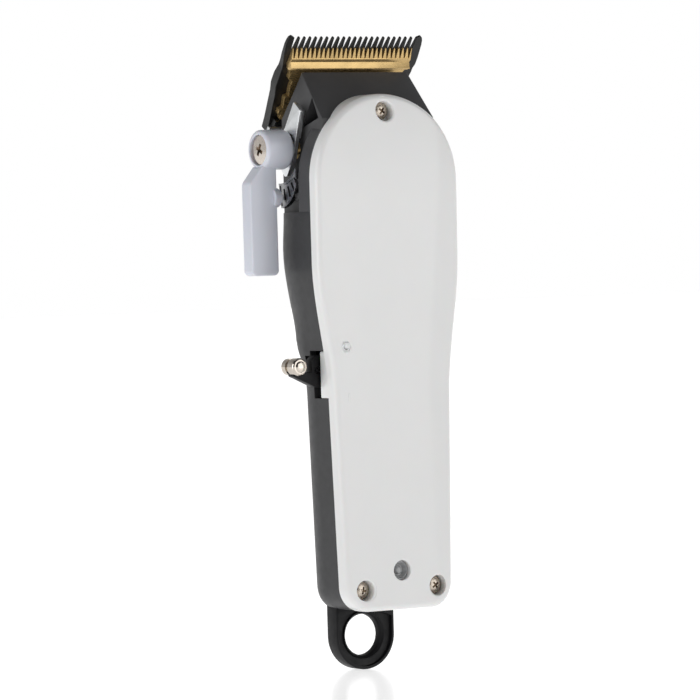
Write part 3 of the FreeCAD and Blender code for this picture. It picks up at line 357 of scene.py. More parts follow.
class Skin:
    """A surface grown row by row: each row is extruded from the one before."""

    def __init__(self, closed: bool) -> None:
        """Start with an empty mesh.

        Args:
            closed: Whether each row is a ring.
        """
        self.mesh: BMesh = bmesh.new()
        self.closed = closed
        self.row: list[BMVert] = []
        self.edges: list[BMEdge] = []

    def grow(self, places: Sequence[Spot]) -> None:
        """Add one row.

        Args:
            places: Points of the row, as many as in every other row.
        """
        if not self.row:
            self.row = [self.mesh.verts.new(place) for place in places]
            after = self.row[1:] + (self.row[:1] if self.closed else [])
            self.edges = [self.mesh.edges.new(pair) for pair in zip(self.row, after)]
            return
        made = bmesh.ops.extrude_edge_only(self.mesh, edges=self.edges)["geom"]
        fresh = {item for item in made if isinstance(item, BMVert)}
        following = []
        for old, place in zip(self.row, places):
            new = next(edge.other_vert(old) for edge in old.link_edges
                       if edge.other_vert(old) in fresh)
            new.co = place
            following.append(new)
        self.row = following
        self.edges = [item for item in made
                      if isinstance(item, BMEdge) and all(v in fresh for v in item.verts)]

    def lid(self) -> None:
        """Close the last row, which is a ring, with one face."""
        bmesh.ops.contextual_create(self.mesh, geom=self.edges)

    def done(self) -> BMesh:
        """Merge what meets, turn the faces outwards and give up the mesh.

        Returns:
            The finished mesh.
        """
        seal(self.mesh)
        return self.mesh


def seal(work: BMesh, reach: float = 1e-4) -> None:
    """Merge doubled points, drop collapsed faces and turn the rest outwards."""
    bmesh.ops.remove_doubles(work, verts=work.verts, dist=reach)
    bmesh.ops.dissolve_degenerate(work, dist=reach, edges=work.edges)
    bmesh.ops.recalc_face_normals(work, faces=work.faces)


def slab(outline: Sequence[Spot], push: Spot) -> BMesh:
    """Solid from a flat outline pushed along a vector.

    Args:
        outline: Corners in order.
        push: Vector from the first face to the second.

    Returns:
        The solid.
    """
    work = bmesh.new()
    corners = [work.verts.new(place) for place in outline]
    face = work.faces.new(corners)
    moved = bmesh.ops.extrude_face_region(work, geom=[face])["geom"]
    bmesh.ops.translate(work, vec=push, verts=[item for item in moved if isinstance(item, BMVert)])
    bmesh.ops.recalc_face_normals(work, faces=work.faces)
    return work


def turned(profile: Sequence[Flat], start: Spot, way: Spot, steps: int = 48) -> BMesh:
    """Solid of revolution.

    Args:
        profile: (radius, distance) pairs along the axis, from one end to the other.
        start: Point on the axis at distance 0.
        way: Direction of the axis.
        steps: Facets round the axis.

    Returns:
        The turned solid.
    """
    work = bmesh.new()
    line = [work.verts.new((radius, 0.0, along)) for radius, along in profile]
    edges = [work.edges.new(pair) for pair in zip(line, line[1:])]
    bmesh.ops.spin(work, geom=line + edges, cent=(0, 0, 0), axis=(0, 0, 1), dvec=(0, 0, 0),
                   angle=2 * math.pi, steps=steps, use_merge=True)
    seal(work)
    turn = Vector((0, 0, 1)).rotation_difference(Vector(way)).to_matrix().to_4x4()
    bmesh.ops.transform(work, matrix=Matrix.Translation(start) @ turn, verts=work.verts)
    return work


def block(low: Spot, high: Spot) -> BMesh:
    """Box between two corners."""
    work = bmesh.new()
    bmesh.ops.create_cube(work, size=1.0)
    size = Vector(high) - Vector(low)
    bmesh.ops.scale(work, vec=size, verts=work.verts)
    bmesh.ops.translate(work, vec=(Vector(low) + Vector(high)) / 2, verts=work.verts)
    return work


def soften(work: BMesh, width: float, steps: int = 2, least: float = 25.0,
           wanted: Callable[[BMEdge], bool] | None = None, finish: int = -1) -> None:
    """Bevel the edges that are sharper than an angle.

    Args:
        work: Mesh to bevel.
        width: Width of the bevel.
        steps: Segments across it.
        least: Smallest angle between two faces, in degrees, that counts as an edge.
        wanted: Extra test for an edge.
        finish: Material index of the bevels, or -1 for their neighbours'.
    """
    edges = [edge for edge in work.edges
             if len(edge.link_faces) == 2 and edge.calc_face_angle(0.0) > math.radians(least)
             and (wanted is None or wanted(edge))]
    bmesh.ops.bevel(work, geom=edges, offset=width, offset_type="OFFSET", segments=steps,
                    profile=0.5, affect="EDGES", material=finish, clamp_overlap=True)


def sliced(work: BMesh, axis: int, levels: Iterable[float]) -> None:
    """Cut extra rows of points through a mesh.

    Args:
        work: Mesh to cut.
        axis: 0, 1 or 2 for X, Y or Z.
        levels: Where to cut along that axis.
    """
    normal = [0.0, 0.0, 0.0]
    normal[axis] = 1.0
    for level in levels:
        spot = [0.0, 0.0, 0.0]
        spot[axis] = level
        bmesh.ops.bisect_plane(work, geom=work.verts[:] + work.edges[:] + work.faces[:],
                               dist=1e-5, plane_co=spot, plane_no=normal)


def merged(*works: BMesh) -> BMesh:
    """Put several solids into one mesh, as separate shells.

    Args:
        works: Meshes to gather, which are used up.

    Returns:
        The first mesh with the rest added.
    """
    first = works[0]
    for other in works[1:]:
        store = bpy.data.meshes.new("gathered")
        other.to_mesh(store)
        first.from_mesh(store)
        bpy.data.meshes.remove(store)
        other.free()
    return first


def smoothed(work: BMesh, crease: float) -> None:
    """Shade a mesh smooth but for the edges sharper than an angle in degrees."""
    for face in work.faces:
        face.smooth = True
    for edge in work.edges:
        edge.smooth = edge.calc_face_angle(0.0) < math.radians(crease)


def stored(name: str, work: BMesh, crease: float) -> bpy.types.Object:
    """Make an object in metres from a mesh in millimetres.

    Args:
        name: Name of the object.
        work: Mesh, which is used up.
        crease: Angle in degrees above which an edge stays sharp.

    Returns:
        The new object.
    """
    bmesh.ops.scale(work, vec=(MM, MM, MM), verts=work.verts)
    smoothed(work, crease)
    mesh = bpy.data.meshes.new(name)
    work.to_mesh(mesh)
    work.free()
    item = bpy.data.objects.new(name, mesh)
    bpy.context.scene.collection.objects.link(item)
    return item


def combined(item: bpy.types.Object, tools: Sequence[BMesh], way: str, crease: float) -> None:
    """Cut tools out of a piece, or join them to it, and keep the result in its mesh.

    Args:
        item: The piece.
        tools: Solids in millimetres, which are used up.
        way: DIFFERENCE or UNION.
        crease: Angle in degrees above which an edge stays sharp.
    """
    helpers = [stored(f"tool_{number}", tool, crease) for number, tool in enumerate(tools)]
    for helper in helpers:
        change = item.modifiers.new("work", "BOOLEAN")
        change.operation = way
        change.solver = "EXACT"
        change.object = helper
    ready = bpy.data.meshes.new_from_object(
        item.evaluated_get(bpy.context.evaluated_depsgraph_get()))
    item.modifiers.clear()
    old, item.data = item.data, ready
    bpy.data.meshes.remove(old)
    ready.name = item.name
    for helper in helpers:
        bpy.data.objects.remove(helper)
    work = bmesh.new()
    work.from_mesh(ready)
    smoothed(work, crease)
    work.to_mesh(ready)
    work.free()


@dataclass(frozen=True)
class Place:
    """Where a piece belongs: its body, the frame nodes that it stands for and its slot."""

    body: str
    nodes: tuple[str, ...]
    slot: str


def fit(item: bpy.types.Object, place: Place, finishes: Sequence[Finish]) -> bpy.types.Object:
    """Give a piece its finishes and hang it on the frame.

    Args:
        item: The piece.
        place: Where it belongs.
        finishes: One finish for each material index in its mesh.

    Returns:
        The piece.
    """
    item.data.materials.clear()
    for finish in finishes:
        item.data.materials.append(finish.material())
    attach(item, place.body)
    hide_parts(*place.nodes)
    log.info("%s: %d faces on %s", item.name, len(item.data.polygons), place.body)
    return item


def made(name: str, work: BMesh, place: Place, finishes: Sequence[Finish],
         crease: float = 32.0) -> bpy.types.Object:
    """Store a mesh as a piece, dress it and hang it on the frame."""
    return fit(stored(name, work, crease), place, finishes)


def eased(points: Sequence[Flat], at: float) -> float:
    """Value at a place on a line through (place, value) points, eased between them.

    Args:
        points: Pairs in rising order of place.
        at: Where to read it.

    Returns:
        The value there.
    """
    if at <= points[0][0]:
        return points[0][1]
    for (low, first), (high, second) in zip(points, points[1:]):
        if at <= high:
            share = (at - low) / (high - low)
            return first + (second - first) * share
    return points[-1][1]


def arc(centre: Flat, radius: float, start: float, end: float, steps: int) -> list[Flat]:
    """Points along an arc, both ends included.

    Args:
        centre: Its centre.
        radius: Its radius.
        start: First angle in degrees.
        end: Last angle in degrees.
        steps: Number of chords.

    Returns:
        The points.
    """
    turns = [math.radians(start + (end - start) * step / steps) for step in range(steps + 1)]
    return [(centre[0] + radius * math.cos(turn), centre[1] + radius * math.sin(turn))
            for turn in turns]


# ------------------------------------------------------------------ finishes of this clipper

WHITE_SHELL = Moulding("white_shell", (0.825, 0.825, 0.82), 0.3, 0.005, 0.02, grain_mm=0.5,
                       grain_depth=0.001, gloss=0.5, coat=0.2, flow=0.05, glow=0.05)
GREY_SHELL = Moulding("grey_shell", (0.036, 0.036, 0.038), 0.46, 0.06, 0.05, grain_mm=0.16,
                      grain_depth=0.012, gloss=0.4)
NECK_GREY = Moulding("neck_grey", (0.056, 0.056, 0.058), 0.44, 0.06, 0.05, grain_mm=0.15,
                     grain_depth=0.015, gloss=0.4)
LOOP_BLACK = Moulding("loop_black", (0.008, 0.008, 0.009), 0.42, 0.1, 0.08, grain_mm=0.2,
                      grain_depth=0.01, gloss=0.2)
LEVER_WHITE = Moulding("lever_white", (0.66, 0.68, 0.755), 0.32, 0.01, 0.03, grain_mm=0.4,
                       grain_depth=0.001, gloss=0.5, coat=0.15, flow=0.05, glow=0.08)
# Black of the switch arm and the lever's pin, also used as painted shade on the walls of the neck's
# notch.
BLACK_AND_PAINTED_SHADE = Moulding("arm_black", (0.006, 0.006, 0.007), 0.4, 0.1, 0.06, gloss=0.2)
FORK_WHITE = Moulding("fork_white", (0.72, 0.71, 0.67), 0.4, 0.03, 0.05)
SCREW_NICKEL = GroundMetal("screw_nickel", (0.58, 0.51, 0.43), 0.26, 0.15, 0.08, Grain.NONE, 0.3)
PIVOT_NICKEL = GroundMetal("pivot_nickel", (0.74, 0.67, 0.60), 0.16, 0.12, 0.06, Grain.NONE, 0.4)
BLADE_BLACK = GroundMetal("blade_black", (0.012, 0.012, 0.012), 0.42, 0.35, 0.1, Grain.DEEP, 0.12,
                          0.004, 0.3, 0.12)
BLADE_WORN = GroundMetal("blade_worn_edge", (0.21, 0.19, 0.178), 0.36, 0.35, 0.1, Grain.NONE, 0.5,
                         0.004, 0.7, 0.5)
CUTTER_GOLD = GroundMetal("cutter_gold", (0.66, 0.46, 0.20), 0.28, 0.1, 0.04, Grain.ACROSS, 0.1,
                          0.0012, 0.2, 0.82)
# Brighter copy of the cutter gold for the band's top faces: painted highlight.
CUTTER_PAINTED_HIGHLIGHT = GroundMetal("cutter_painted_highlight", (0.88, 0.68, 0.34), 0.2, 0.06, 0.03, Grain.ACROSS,
                            0.12, 0.0006, 0.06)
ZINC = Spangle("zinc_sheet", (0.84, 0.86, 0.87), 0.36, 0.05, 0.05)
SPRING_STEEL = GroundMetal("spring_steel", (0.5, 0.5, 0.52), 0.25, 0.15, 0.08, Grain.DEEP)
DRAWN_STEEL = GroundMetal("drawn_steel", (0.62, 0.62, 0.63), 0.24, 0.15, 0.08, Grain.UPRIGHT)
CHROME = GroundMetal("knob_nickel", (0.66, 0.60, 0.53), 0.08, 0.06, 0.04, Grain.NONE, 0.9, 0.002,
                     0.08)
RING_CHROME = GroundMetal("ring_chrome", (0.5, 0.5, 0.51), 0.2, 0.2, 0.08, Grain.NONE, 0.5)
LENS_SMOKE = ClearLens("lens_smoke", (0.74, 0.75, 0.76), 0.12, 0.1, 0.04)


class Hidden(Enum):
    """Inner pieces that keep their frame node, each with its finish."""

    status_led = Moulding("led_dome", (0.82, 0.85, 0.82), 0.15, glow=0.3)
    circuit_board = Moulding("board_lacquer", (0.015, 0.14, 0.06), 0.3, 0.25, grain_mm=0.6,
                             coat=0.5)
    slide_switch = Moulding("switch_case", (0.02, 0.02, 0.022), 0.4)
    charging_socket = GroundMetal("socket_shell", (0.62, 0.62, 0.62), 0.25, grain=Grain.UPRIGHT)
    battery_cell = Moulding("cell_sleeve", (0.03, 0.2, 0.36), 0.3, 0.1, coat=0.3)
    battery_tabs = GroundMetal("nickel_tab", (0.7, 0.68, 0.62), 0.25, grain=Grain.ACROSS)
    motor_can = GroundMetal("motor_can_steel", (0.6, 0.6, 0.61), 0.28, grain=Grain.UPRIGHT)
    motor_mount = Moulding("mount_nylon", (0.42, 0.42, 0.41), 0.5, 0.06)
    motor_shaft = GroundMetal("shaft_ground", (0.68, 0.68, 0.69), 0.18, grain=Grain.UPRIGHT)
    eccentric_cam = GroundMetal("cam_turned_brass", (0.74, 0.56, 0.26), 0.24, grain=Grain.ACROSS)
    eccentric_pin = GroundMetal("pin_hardened", (0.5, 0.5, 0.51), 0.2, grain=Grain.DEEP)
    pivot_insert = GroundMetal("insert_brass", (0.72, 0.55, 0.25), 0.3, grain=Grain.ACROSS)
    tension_spring = SPRING_STEEL
    drive_fork = FORK_WHITE

    def dress(self) -> None:
        """Put the finish on the node, whose mesh is left alone."""
        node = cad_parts[self.name]
        node.data.materials.clear()
        node.data.materials.append(self.value.material())
        log.info("%s: frame node dressed as %s", self.name, self.value.title)


# ------------------------------------------------------------------ the body

@dataclass(frozen=True)
class Silhouette:
    """Outline that the cover, the housing and the neck share, seen from the front."""

    bottom: float = 8.0
    tail_half: float = 17.5
    tail_corner: float = 7.0
    waist_half: float = 19.1
    waist_level: float = 66.0
    head_half: float = 23.3
    head_level: float = 104.0
    arch_level: float = 126.0

    def half(self, level: float) -> float:
        """Half the width at a height, with the tail's corners and the arch."""
        corner = self.bottom + self.tail_corner
        if level < corner:
            sunk = corner - level
            inner = self.tail_half - self.tail_corner
            return inner + math.sqrt(max(0.0, self.tail_corner ** 2 - sunk ** 2))
        if level <= self.waist_level:
            share = (level - corner) / (self.waist_level - corner)
            return self.tail_half + share * (self.waist_half - self.tail_half)
        if level <= self.arch_level:
            share = min(1.0, (level - self.waist_level) / (self.head_level - self.waist_level))
            blend = share * share * (3 - 2 * share)
            return self.waist_half + blend * (self.head_half - self.waist_half)
        above = level - self.arch_level
        return math.sqrt(max(0.0, self.head_half ** 2 - above ** 2))

    def right_side(self) -> list[Flat]:
        """Right half of the outline from the bottom's middle to the apex, evenly stepped.

        Returns:
            (x, z) points.
        """
        inner = self.tail_half - self.tail_corner
        corner = self.bottom + self.tail_corner
        points = [(inner * step / 6, self.bottom) for step in range(6)]
        points += arc((inner, corner), self.tail_corner, -90, 0, 12)
        steps = 58
        for step in range(1, steps):
            level = corner + (self.arch_level - corner) * step / steps
            points.append((self.half(level), level))
        points += arc((0, self.arch_level), self.head_half, 0, 90, 40)
        return points

    def ring(self) -> list[Flat]:
        """Whole outline, anticlockwise from the bottom's middle.

        Returns:
            (x, z) points, the same on both sides.
        """
        right = self.right_side()
        return right + [(-x, z) for x, z in reversed(right[1:-1])]


def moved_in(ring: Sequence[Flat], inset: float) -> list[Flat]:
    """Move each point of a closed anticlockwise outline inwards along its normal.

    Args:
        ring: Outline.
        inset: Distance.

    Returns:
        The smaller outline.
    """
    result = []
    for number, (x, z) in enumerate(ring):
        before, after = ring[number - 1], ring[(number + 1) % len(ring)]
        run, rise = after[0] - before[0], after[1] - before[1]
        long = math.hypot(run, rise)
        result.append((x - inset * rise / long, z + inset * run / long))
    return result


@dataclass
class FrontCover:
    """White front cover: flat band, two soft facets, a brow over the arch and screw wells."""

    shape: Silhouette = field(default_factory=Silhouette)
    split: float = -16.0
    face: float = -21.5
    facet_slope: float = 0.19
    crease_soft: float = 1.3
    crease: tuple[Flat, ...] = ((8, 11.6), (25, 11.4), (46, 11.0), (67, 10.4), (89, 11.8),
                                (110, 14.0), (132, 15.9), (150, 16.5))
    brow_start: float = 122.0
    brow_fall: float = 3.2
    edge_round: float = 1.5
    hood_foot: float = 142.95
    hood_slope: float = 11.2 / 13.1
    wall: float = 2.0
    well_radius: float = 2.75
    tail_screw: Flat = (12.0, 13.9)
    top_screw: Flat = (0.0, 144.6)
    lens: Flat = (0.0, 18.8)
    lens_radius: float = 2.6

    def surface(self, x: float, z: float) -> float:
        """Y of the outer surface in front of a point.

        Args:
            x: Across.
            z: Height.

        Returns:
            Its Y.
        """
        past = abs(x) - eased(self.crease, z)
        facet = self.facet_slope * (past + math.hypot(past, self.crease_soft)) / 2
        brow = max(0.0, z - self.brow_start) / (149.3 - self.brow_start)
        return self.face + facet + self.brow_fall * brow ** 2.05

    def rear(self, z: float) -> float:
        """Y of the cover's rear edge, which follows the hood above its foot."""
        return self.split + max(0.0, z - self.hood_foot) * self.hood_slope

    def spine(self, z: float) -> Flat:
        """Point of the middle line that a point at a height is drawn towards."""
        return 0.0, min(self.shape.arch_level, max(self.shape.bottom + 15.0, z))

    def shell(self) -> BMesh:
        """Outer skin, rear rim and inner skin as one closed surface.

        Returns:
            The closed shell.
        """
        skin = Skin(closed=True)
        outline = self.shape.ring()
        inner = moved_in(outline, self.wall)
        for share in (1.0, 0.75, 0.45, 0.2, 0.0):
            row = []
            for x, z in inner:
                mid, level = self.spine(z)
                u, v = x + share * (mid - x), z + share * (level - z)
                row.append((u, self.surface(u, v) + self.wall, v))
            skin.grow(row)
        skin.grow([(x, self.rear(z), z) for x, z in inner])
        rim = 0.25
        skin.grow([(x, self.rear(z), z) for x, z in moved_in(outline, rim)])
        skin.grow([(x, self.rear(z) - rim, z) for x, z in outline])
        radius = self.edge_round
        steps = 7
        for step in range(steps + 1):
            turn = math.radians(90 * step / steps)
            inset = moved_in(outline, radius * (1 - math.cos(turn)))
            skin.grow([(x, self.surface(x, z) + radius * (1 - math.sin(turn)), z)
                       for x, z in inset])
        edge = moved_in(outline, radius)
        rings = 24
        for step in range(1, rings + 1):
            share = step / rings
            row = []
            for x, z in edge:
                mid, level = self.spine(z)
                u, v = x + share * (mid - x), z + share * (level - z)
                row.append((u, self.surface(u, v), v))
            skin.grow(row)
        return skin.done()

    def well(self, centre: Flat, floor: float, radius: float, lean: float = 0.0,
             lip: float = 0.55) -> BMesh:
        """Tool for a screw well with a rounded lip at the surface.

        Args:
            centre: (x, z) of its axis.
            floor: Y of its floor.
            radius: Radius of its wall.
            lean: Degrees that its mouth leans up.
            lip: Radius of the rounded lip.

        Returns:
            The tool.
        """
        x, z = centre
        surface = self.surface(x, z)
        deep = floor - surface
        profile = [(0.0, deep), (radius, deep)]
        profile += [(radius + lip - lip * math.cos(math.radians(turn)),
                     lip - lip * math.sin(math.radians(turn))) for turn in range(0, 91, 15)]
        profile += [(radius + lip + 0.1, -0.02), (radius + lip + 0.1, -3.0), (0.0, -3.0)]
        way = (0.0, math.cos(math.radians(lean)), math.sin(math.radians(lean)))
        return turned(profile, (x, surface, z), way, 56)

    def boss(self, centre: Flat, end: float) -> BMesh:
        """Round boss behind a well.

        Args:
            centre: (x, z) of its axis.
            end: Y of its rear end.

        Returns:
            The boss.
        """
        start = self.surface(*centre) + 1.0
        radius = self.well_radius + 1.25
        return turned([(0.0, 0.0), (radius, 0.0), (radius, end - start), (0.0, end - start)],
                      (centre[0], start, centre[1]), (0, 1, 0), 48)

    def build(self) -> None:
        """Make the cover with its wells, its lens hole, its tab and two moulded marks."""
        item = stored("front_cover_shell", self.shell(), 40.0)
        screw_x, screw_z = self.tail_screw
        bosses = [self.boss((side * screw_x, screw_z), -16.1) for side in (-1, 1)]
        bosses += [self.boss(self.top_screw, -14.7), self.boss(self.lens, -17.2)]
        combined(item, bosses, "UNION", 40.0)
        tools = [self.well((side * screw_x, screw_z), -17.3, self.well_radius, 0.0)
                 for side in (-1, 1)]
        tools.append(self.well(self.top_screw, -15.9, self.well_radius, -11.0, 0.7))
        tools.append(self.well(self.lens, -15.0, self.lens_radius + 0.12, 0.0, 0.3))
        combined(item, tools, "DIFFERENCE", 40.0)
        half = self.shape.half(67.0)
        tab = block((-half, self.split - 0.6, 66.6), (-half + 1.6, -12.4, 79.4))
        soften(tab, 0.35, 2)
        marks = [self.raised_ring((-15.7, 80.6), 1.0), self.raised_bar((-15.1, 66.7))]
        combined(item, [tab, *marks], "UNION", 40.0)
        fit(item, Place("housing", ("front_cover",), "cover_white"), (WHITE_SHELL,))

    def raised_ring(self, centre: Flat, radius: float) -> BMesh:
        """Low moulded ring on the left facet."""
        x, z = centre
        rise, width = 0.12, 0.16
        profile = [(radius - width, 0.3), (radius - width, 0.0), (radius - width / 2, -rise),
                   (radius + width / 2, -rise), (radius + width, 0.0), (radius + width, 0.3),
                   (radius - width, 0.3)]
        return turned(profile, (x, self.surface(x, z), z), (self.facet_slope, 1.0, 0.0), 32)

    def raised_bar(self, centre: Flat) -> BMesh:
        """Low moulded dash on the left facet."""
        x, z = centre
        surface = self.surface(x, z)
        bar = block((x - 0.28, surface - 0.1, z - 1.25), (x + 0.28, surface + 0.4, z + 1.25))
        soften(bar, 0.1, 2)
        return bar


@dataclass
class RearHousing:
    """Grey tub behind the cover: straight side bands, a crowned back, a roof and a floor."""

    shape: Silhouette = field(default_factory=Silhouette)
    overhang: float = 0.35
    split: float = -16.0
    drawn_in: float = 0.1
    swells: tuple[tuple[float, float, float], ...] = ((107.0, 7.0, 2.0), (80.5, 4.5, 2.6))
    flat: float = -8.7
    tail_back: float = 4.5
    head_back: float = 11.0
    roof: float = 117.5
    wall: float = 2.0
    band: int = 8
    crown: int = 22

    def back(self, level: float) -> float:
        """Y of the back at a height."""
        share = (level - self.shape.waist_level) / (self.shape.head_level - self.shape.waist_level)
        share = min(1.0, max(0.0, share))
        return self.tail_back + share * share * (3 - 2 * share) * (self.head_back - self.tail_back)

    def section(self, level: float, inset: float, front: float) -> list[Spot]:
        """Ring of points from the left front corner round the back to the right one.

        Args:
            level: Height of the ring.
            inset: How far it is drawn in.
            front: Y of its straight front.

        Returns:
            The points.
        """
        half = self.shape.half(level) - self.overhang - inset
        deep = self.back(level) - self.drawn_in - inset
        flat = self.flat + sum(rise * math.exp(-((level - middle) / wide) ** 2)
                               for middle, wide, rise in self.swells)
        side = [(half, front + (flat - front) * step / self.band)
                for step in range(self.band)]
        poles = ((half, flat), (half * 0.99, flat + 0.62 * (deep - flat)),
                 (half * 0.66, deep), (0.0, deep))
        for step in range(self.crown + 1):
            t = step / self.crown
            weights = ((1 - t) ** 3, 3 * t * (1 - t) ** 2, 3 * t * t * (1 - t), t ** 3)
            side.append((sum(w * p[0] for w, p in zip(weights, poles)),
                         sum(w * p[1] for w, p in zip(weights, poles))))
        left = [(-x, y, level) for x, y in side]
        return left + [(x, y, level) for x, y in reversed(side[:-1])]

    def tub(self, rows: Sequence[Flat], front: float) -> BMesh:
        """Closed solid through rings.

        Args:
            rows: (height, inset) of each ring, from the bottom up.
            front: Y of the straight front.

        Returns:
            The solid.
        """
        skin = Skin(closed=True)
        for number, (level, inset) in enumerate(rows):
            skin.grow(self.section(level, inset, front))
            if number == 0:
                skin.lid()
        skin.lid()
        return skin.done()

    def outside(self) -> BMesh:
        """Outer form with rounded ends."""
        bottom, radius = self.shape.bottom, 1.2
        rows = [(bottom, radius)]
        for turn in (25, 50, 70, 90):
            angle = math.radians(turn)
            rows.append((bottom + radius * (1 - math.cos(angle)), radius * (1 - math.sin(angle))))
        rows += [(bottom + radius + step * 0.97, 0.0) for step in range(1, 6)]
        rows += [(15.0 + step * 2.5, 0.0) for step in range(41)]
        rows += [(self.roof - 0.1, 0.0), (self.roof, 0.06)]
        return self.tub(rows, self.split)

    def inside(self) -> BMesh:
        """Hollow, open towards the cover."""
        low, high = self.shape.bottom + self.wall, self.roof - self.wall
        rows = [(low + step * 0.83, self.wall) for step in range(6)]
        rows += [(15.0 + step * 5.0, self.wall) for step in range(21)] + [(high, self.wall)]
        return self.tub(rows, self.split - 1.0)

    def window(self) -> BMesh:
        """Stepped notch in the left side wall for the switch arm."""
        rear = -8.8
        steps = ((self.split - 2, 66.5), (rear, 66.5), (rear, 70.9), (rear + 2.8, 70.9),
                 (rear + 2.8, 78.2), (rear, 78.2), (rear, 79.6), (self.split - 2, 79.6))
        return slab([(-30.0, y, z) for y, z in steps], (16.0, 0.0, 0.0))

    def build(self) -> None:
        """Make the housing with its window, stem slot and charging slot."""
        item = stored("rear_housing_shell", self.outside(), 40.0)
        combined(item, [self.inside()], "DIFFERENCE", 40.0)
        stem = block((-9.75, -2.65, 6.0), (9.75, 2.65, 11.5))
        inlet = block((-4.65, -10.75, 6.0), (4.65, -7.25, 11.5))
        soften(inlet, 1.7, 6, 60.0, lambda edge: abs(edge.verts[0].co.z - edge.verts[1].co.z) > 3)
        way = turned([(0, 0), (5.5, 0), (5.5, 6), (0, 6)], (0, -4.6, 114.0), (0, 0, 1))
        combined(item, [self.window(), stem, inlet, way], "DIFFERENCE", 40.0)
        fit(item, Place("housing", ("rear_housing",), "housing_grey"), (GREY_SHELL,))


@dataclass
class Neck:
    """Grey neck: arched shoulders behind the cover and a slanted hood under the blades."""

    shape: Silhouette = field(default_factory=Silhouette)
    overhang: float = 0.35
    split: float = -16.0
    shoulder_back: float = -9.5
    base: float = 117.53
    hood_half_top: float = 17.5
    hood_half_foot: float = 18.4
    foot: Flat = (-16.0, 142.8)
    top: Flat = (-4.8, 155.9)
    back: float = 6.5

    def shoulders(self) -> BMesh:
        """Arched plate with a rounded rear edge."""
        half = self.shape.head_half - self.overhang
        outline = [(half, self.base), *arc((0, self.shape.arch_level), half, 0, 180, 72),
                   (-half, self.base)]
        work = slab([(x, self.shoulder_back, z) for x, z in outline],
                    (0.0, self.split - self.shoulder_back, 0.0))
        soften(work, 1.0, 4, 60.0, lambda edge: all(
            abs(vert.co.y - self.shoulder_back) < 1e-4 for vert in edge.verts)
            and max(vert.co.z for vert in edge.verts) > self.base + 0.1)
        above = 60.0
        slope = (self.top[1] - self.foot[1]) / (self.top[0] - self.foot[0])
        bmesh.ops.bisect_plane(work, geom=work.verts[:] + work.edges[:] + work.faces[:],
                               dist=1e-5, plane_co=(0, self.foot[0], self.foot[1]),
                               plane_no=Vector((0, -slope, 1)) * above, clear_outer=True)
        rim = [edge for edge in work.edges if edge.is_boundary]
        bmesh.ops.holes_fill(work, edges=rim)
        bmesh.ops.recalc_face_normals(work, faces=work.faces)
        return work

    def hood(self) -> BMesh:
        """Wedge that carries the blades, a little wider at its foot."""
        seat_top, seat_end = BladePlane.point(10.0, 4.7), BladePlane.point(26.0, 4.7)
        side = [(self.split, self.base), self.foot, self.top, seat_top, seat_end,
                (self.back, seat_end[1] - 1), (self.back, self.base)]
        wide = self.hood_half_foot
        work = slab([(-wide, y, z) for y, z in side], (2 * wide, 0.0, 0.0))
        for vert in work.verts:
            share = min(1.0, max(0.0, (vert.co.z - self.foot[1]) / (self.top[1] - self.foot[1])))
            half = self.hood_half_foot + share * (self.hood_half_top - self.hood_half_foot)
            vert.co.x = math.copysign(half, vert.co.x)
        soften(work, 2.4, 5, 30.0, lambda edge: all(
            abs(vert.co.y - self.back) < 1e-4 for vert in edge.verts)
            and abs(edge.verts[0].co.z - edge.verts[1].co.z) > 5)
        soften(work, 0.4, 3, 30.0, lambda edge: any(
            vert.co.z > self.base + 1e-3 for vert in edge.verts))
        return work

    def notch(self) -> BMesh:
        """Recess beside the hood, just above the shoulder, its walls made black as painted shade."""
        side = [(-10.6, 148.7), (-5.4, 140.6), (-13.9, 143.0)]
        work = slab([(-22.0, y, z) for y, z in side], (9.6, 0.0, 0.0))
        # Painted shade: the recess walls take material 1, the black finish, so they look like deep
        # shadow.
        for face in work.faces:
            face.material_index = 1
        return work

    def cavity(self) -> BMesh:
        """Space for the shaft, the cam and the fork."""
        side = [(-13.8, self.base - 2), (-13.8, 141.6), (-5.6, 151.6), (1.5, 151.6),
                (4.3, 146.6), (4.3, self.base - 2)]
        return slab([(-9.0, y, z) for y, z in side], (18.0, 0.0, 0.0))

    def build(self) -> None:
        """Join hood and shoulders, hollow them and drill the pivot."""
        item = stored("neck_shell", self.hood(), 30.0)
        footprint = RearHousing().section(self.base - 0.7, 0.05, -30.0)
        combined(item, [slab([(x, y, self.base - 1.0) for x, y, _ in footprint],
                             (0.0, 0.0, 60.0))], "INTERSECT", 30.0)
        seat = block((-21.9, -8.8, 120.6), (-17.0, 0.4, 123.4))
        soften(seat, 0.5, 3)
        combined(item, [self.shoulders(), seat], "UNION", 30.0)
        pivot = turned([(0, 0), (2.75, 0), (2.75, 6.6), (0, 6.6)], (-18.6, -1.5, 134.8), (1, 0, 0))
        pilot = turned([(0, 0), (1.25, 0), (1.25, 9), (0, 9)], (0, -17, 144.6), (0, 1, 0), 24)
        combined(item, [self.cavity(), self.notch(), pivot, pilot], "DIFFERENCE", 30.0)
        # The second finish paints shade on the walls of the notch.
        fit(item, Place("housing", ("neck_housing",), "neck_grey"), (NECK_GREY, BLACK_AND_PAINTED_SHADE))


class BladePlane:
    """The leaning plane of the blades: L runs from the fixed tips, R away from its inner face."""

    LEAN = math.radians(37.0)
    TIP: Flat = (-6.8, 165.9)

    @classmethod
    def point(cls, along: float, rise: float) -> Flat:
        """(Y, Z) of a point at a length from the tips and a rise towards the neck."""
        return (cls.TIP[0] + along * math.sin(cls.LEAN) - rise * math.cos(cls.LEAN),
                cls.TIP[1] - along * math.cos(cls.LEAN) - rise * math.sin(cls.LEAN))

    @classmethod
    def lay(cls, work: BMesh, shift: float = 0.0) -> BMesh:
        """Place a mesh drawn flat, +Y to the tips and +Z to the neck, on the plane.

        Args:
            work: Mesh to move.
            shift: Shift along X.

        Returns:
            The same mesh.
        """
        turn = Matrix.Rotation(math.pi / 2 + cls.LEAN, 4, "X")
        bmesh.ops.transform(work, matrix=Matrix.Translation((shift, *cls.TIP)) @ turn,
                            verts=work.verts)
        return work


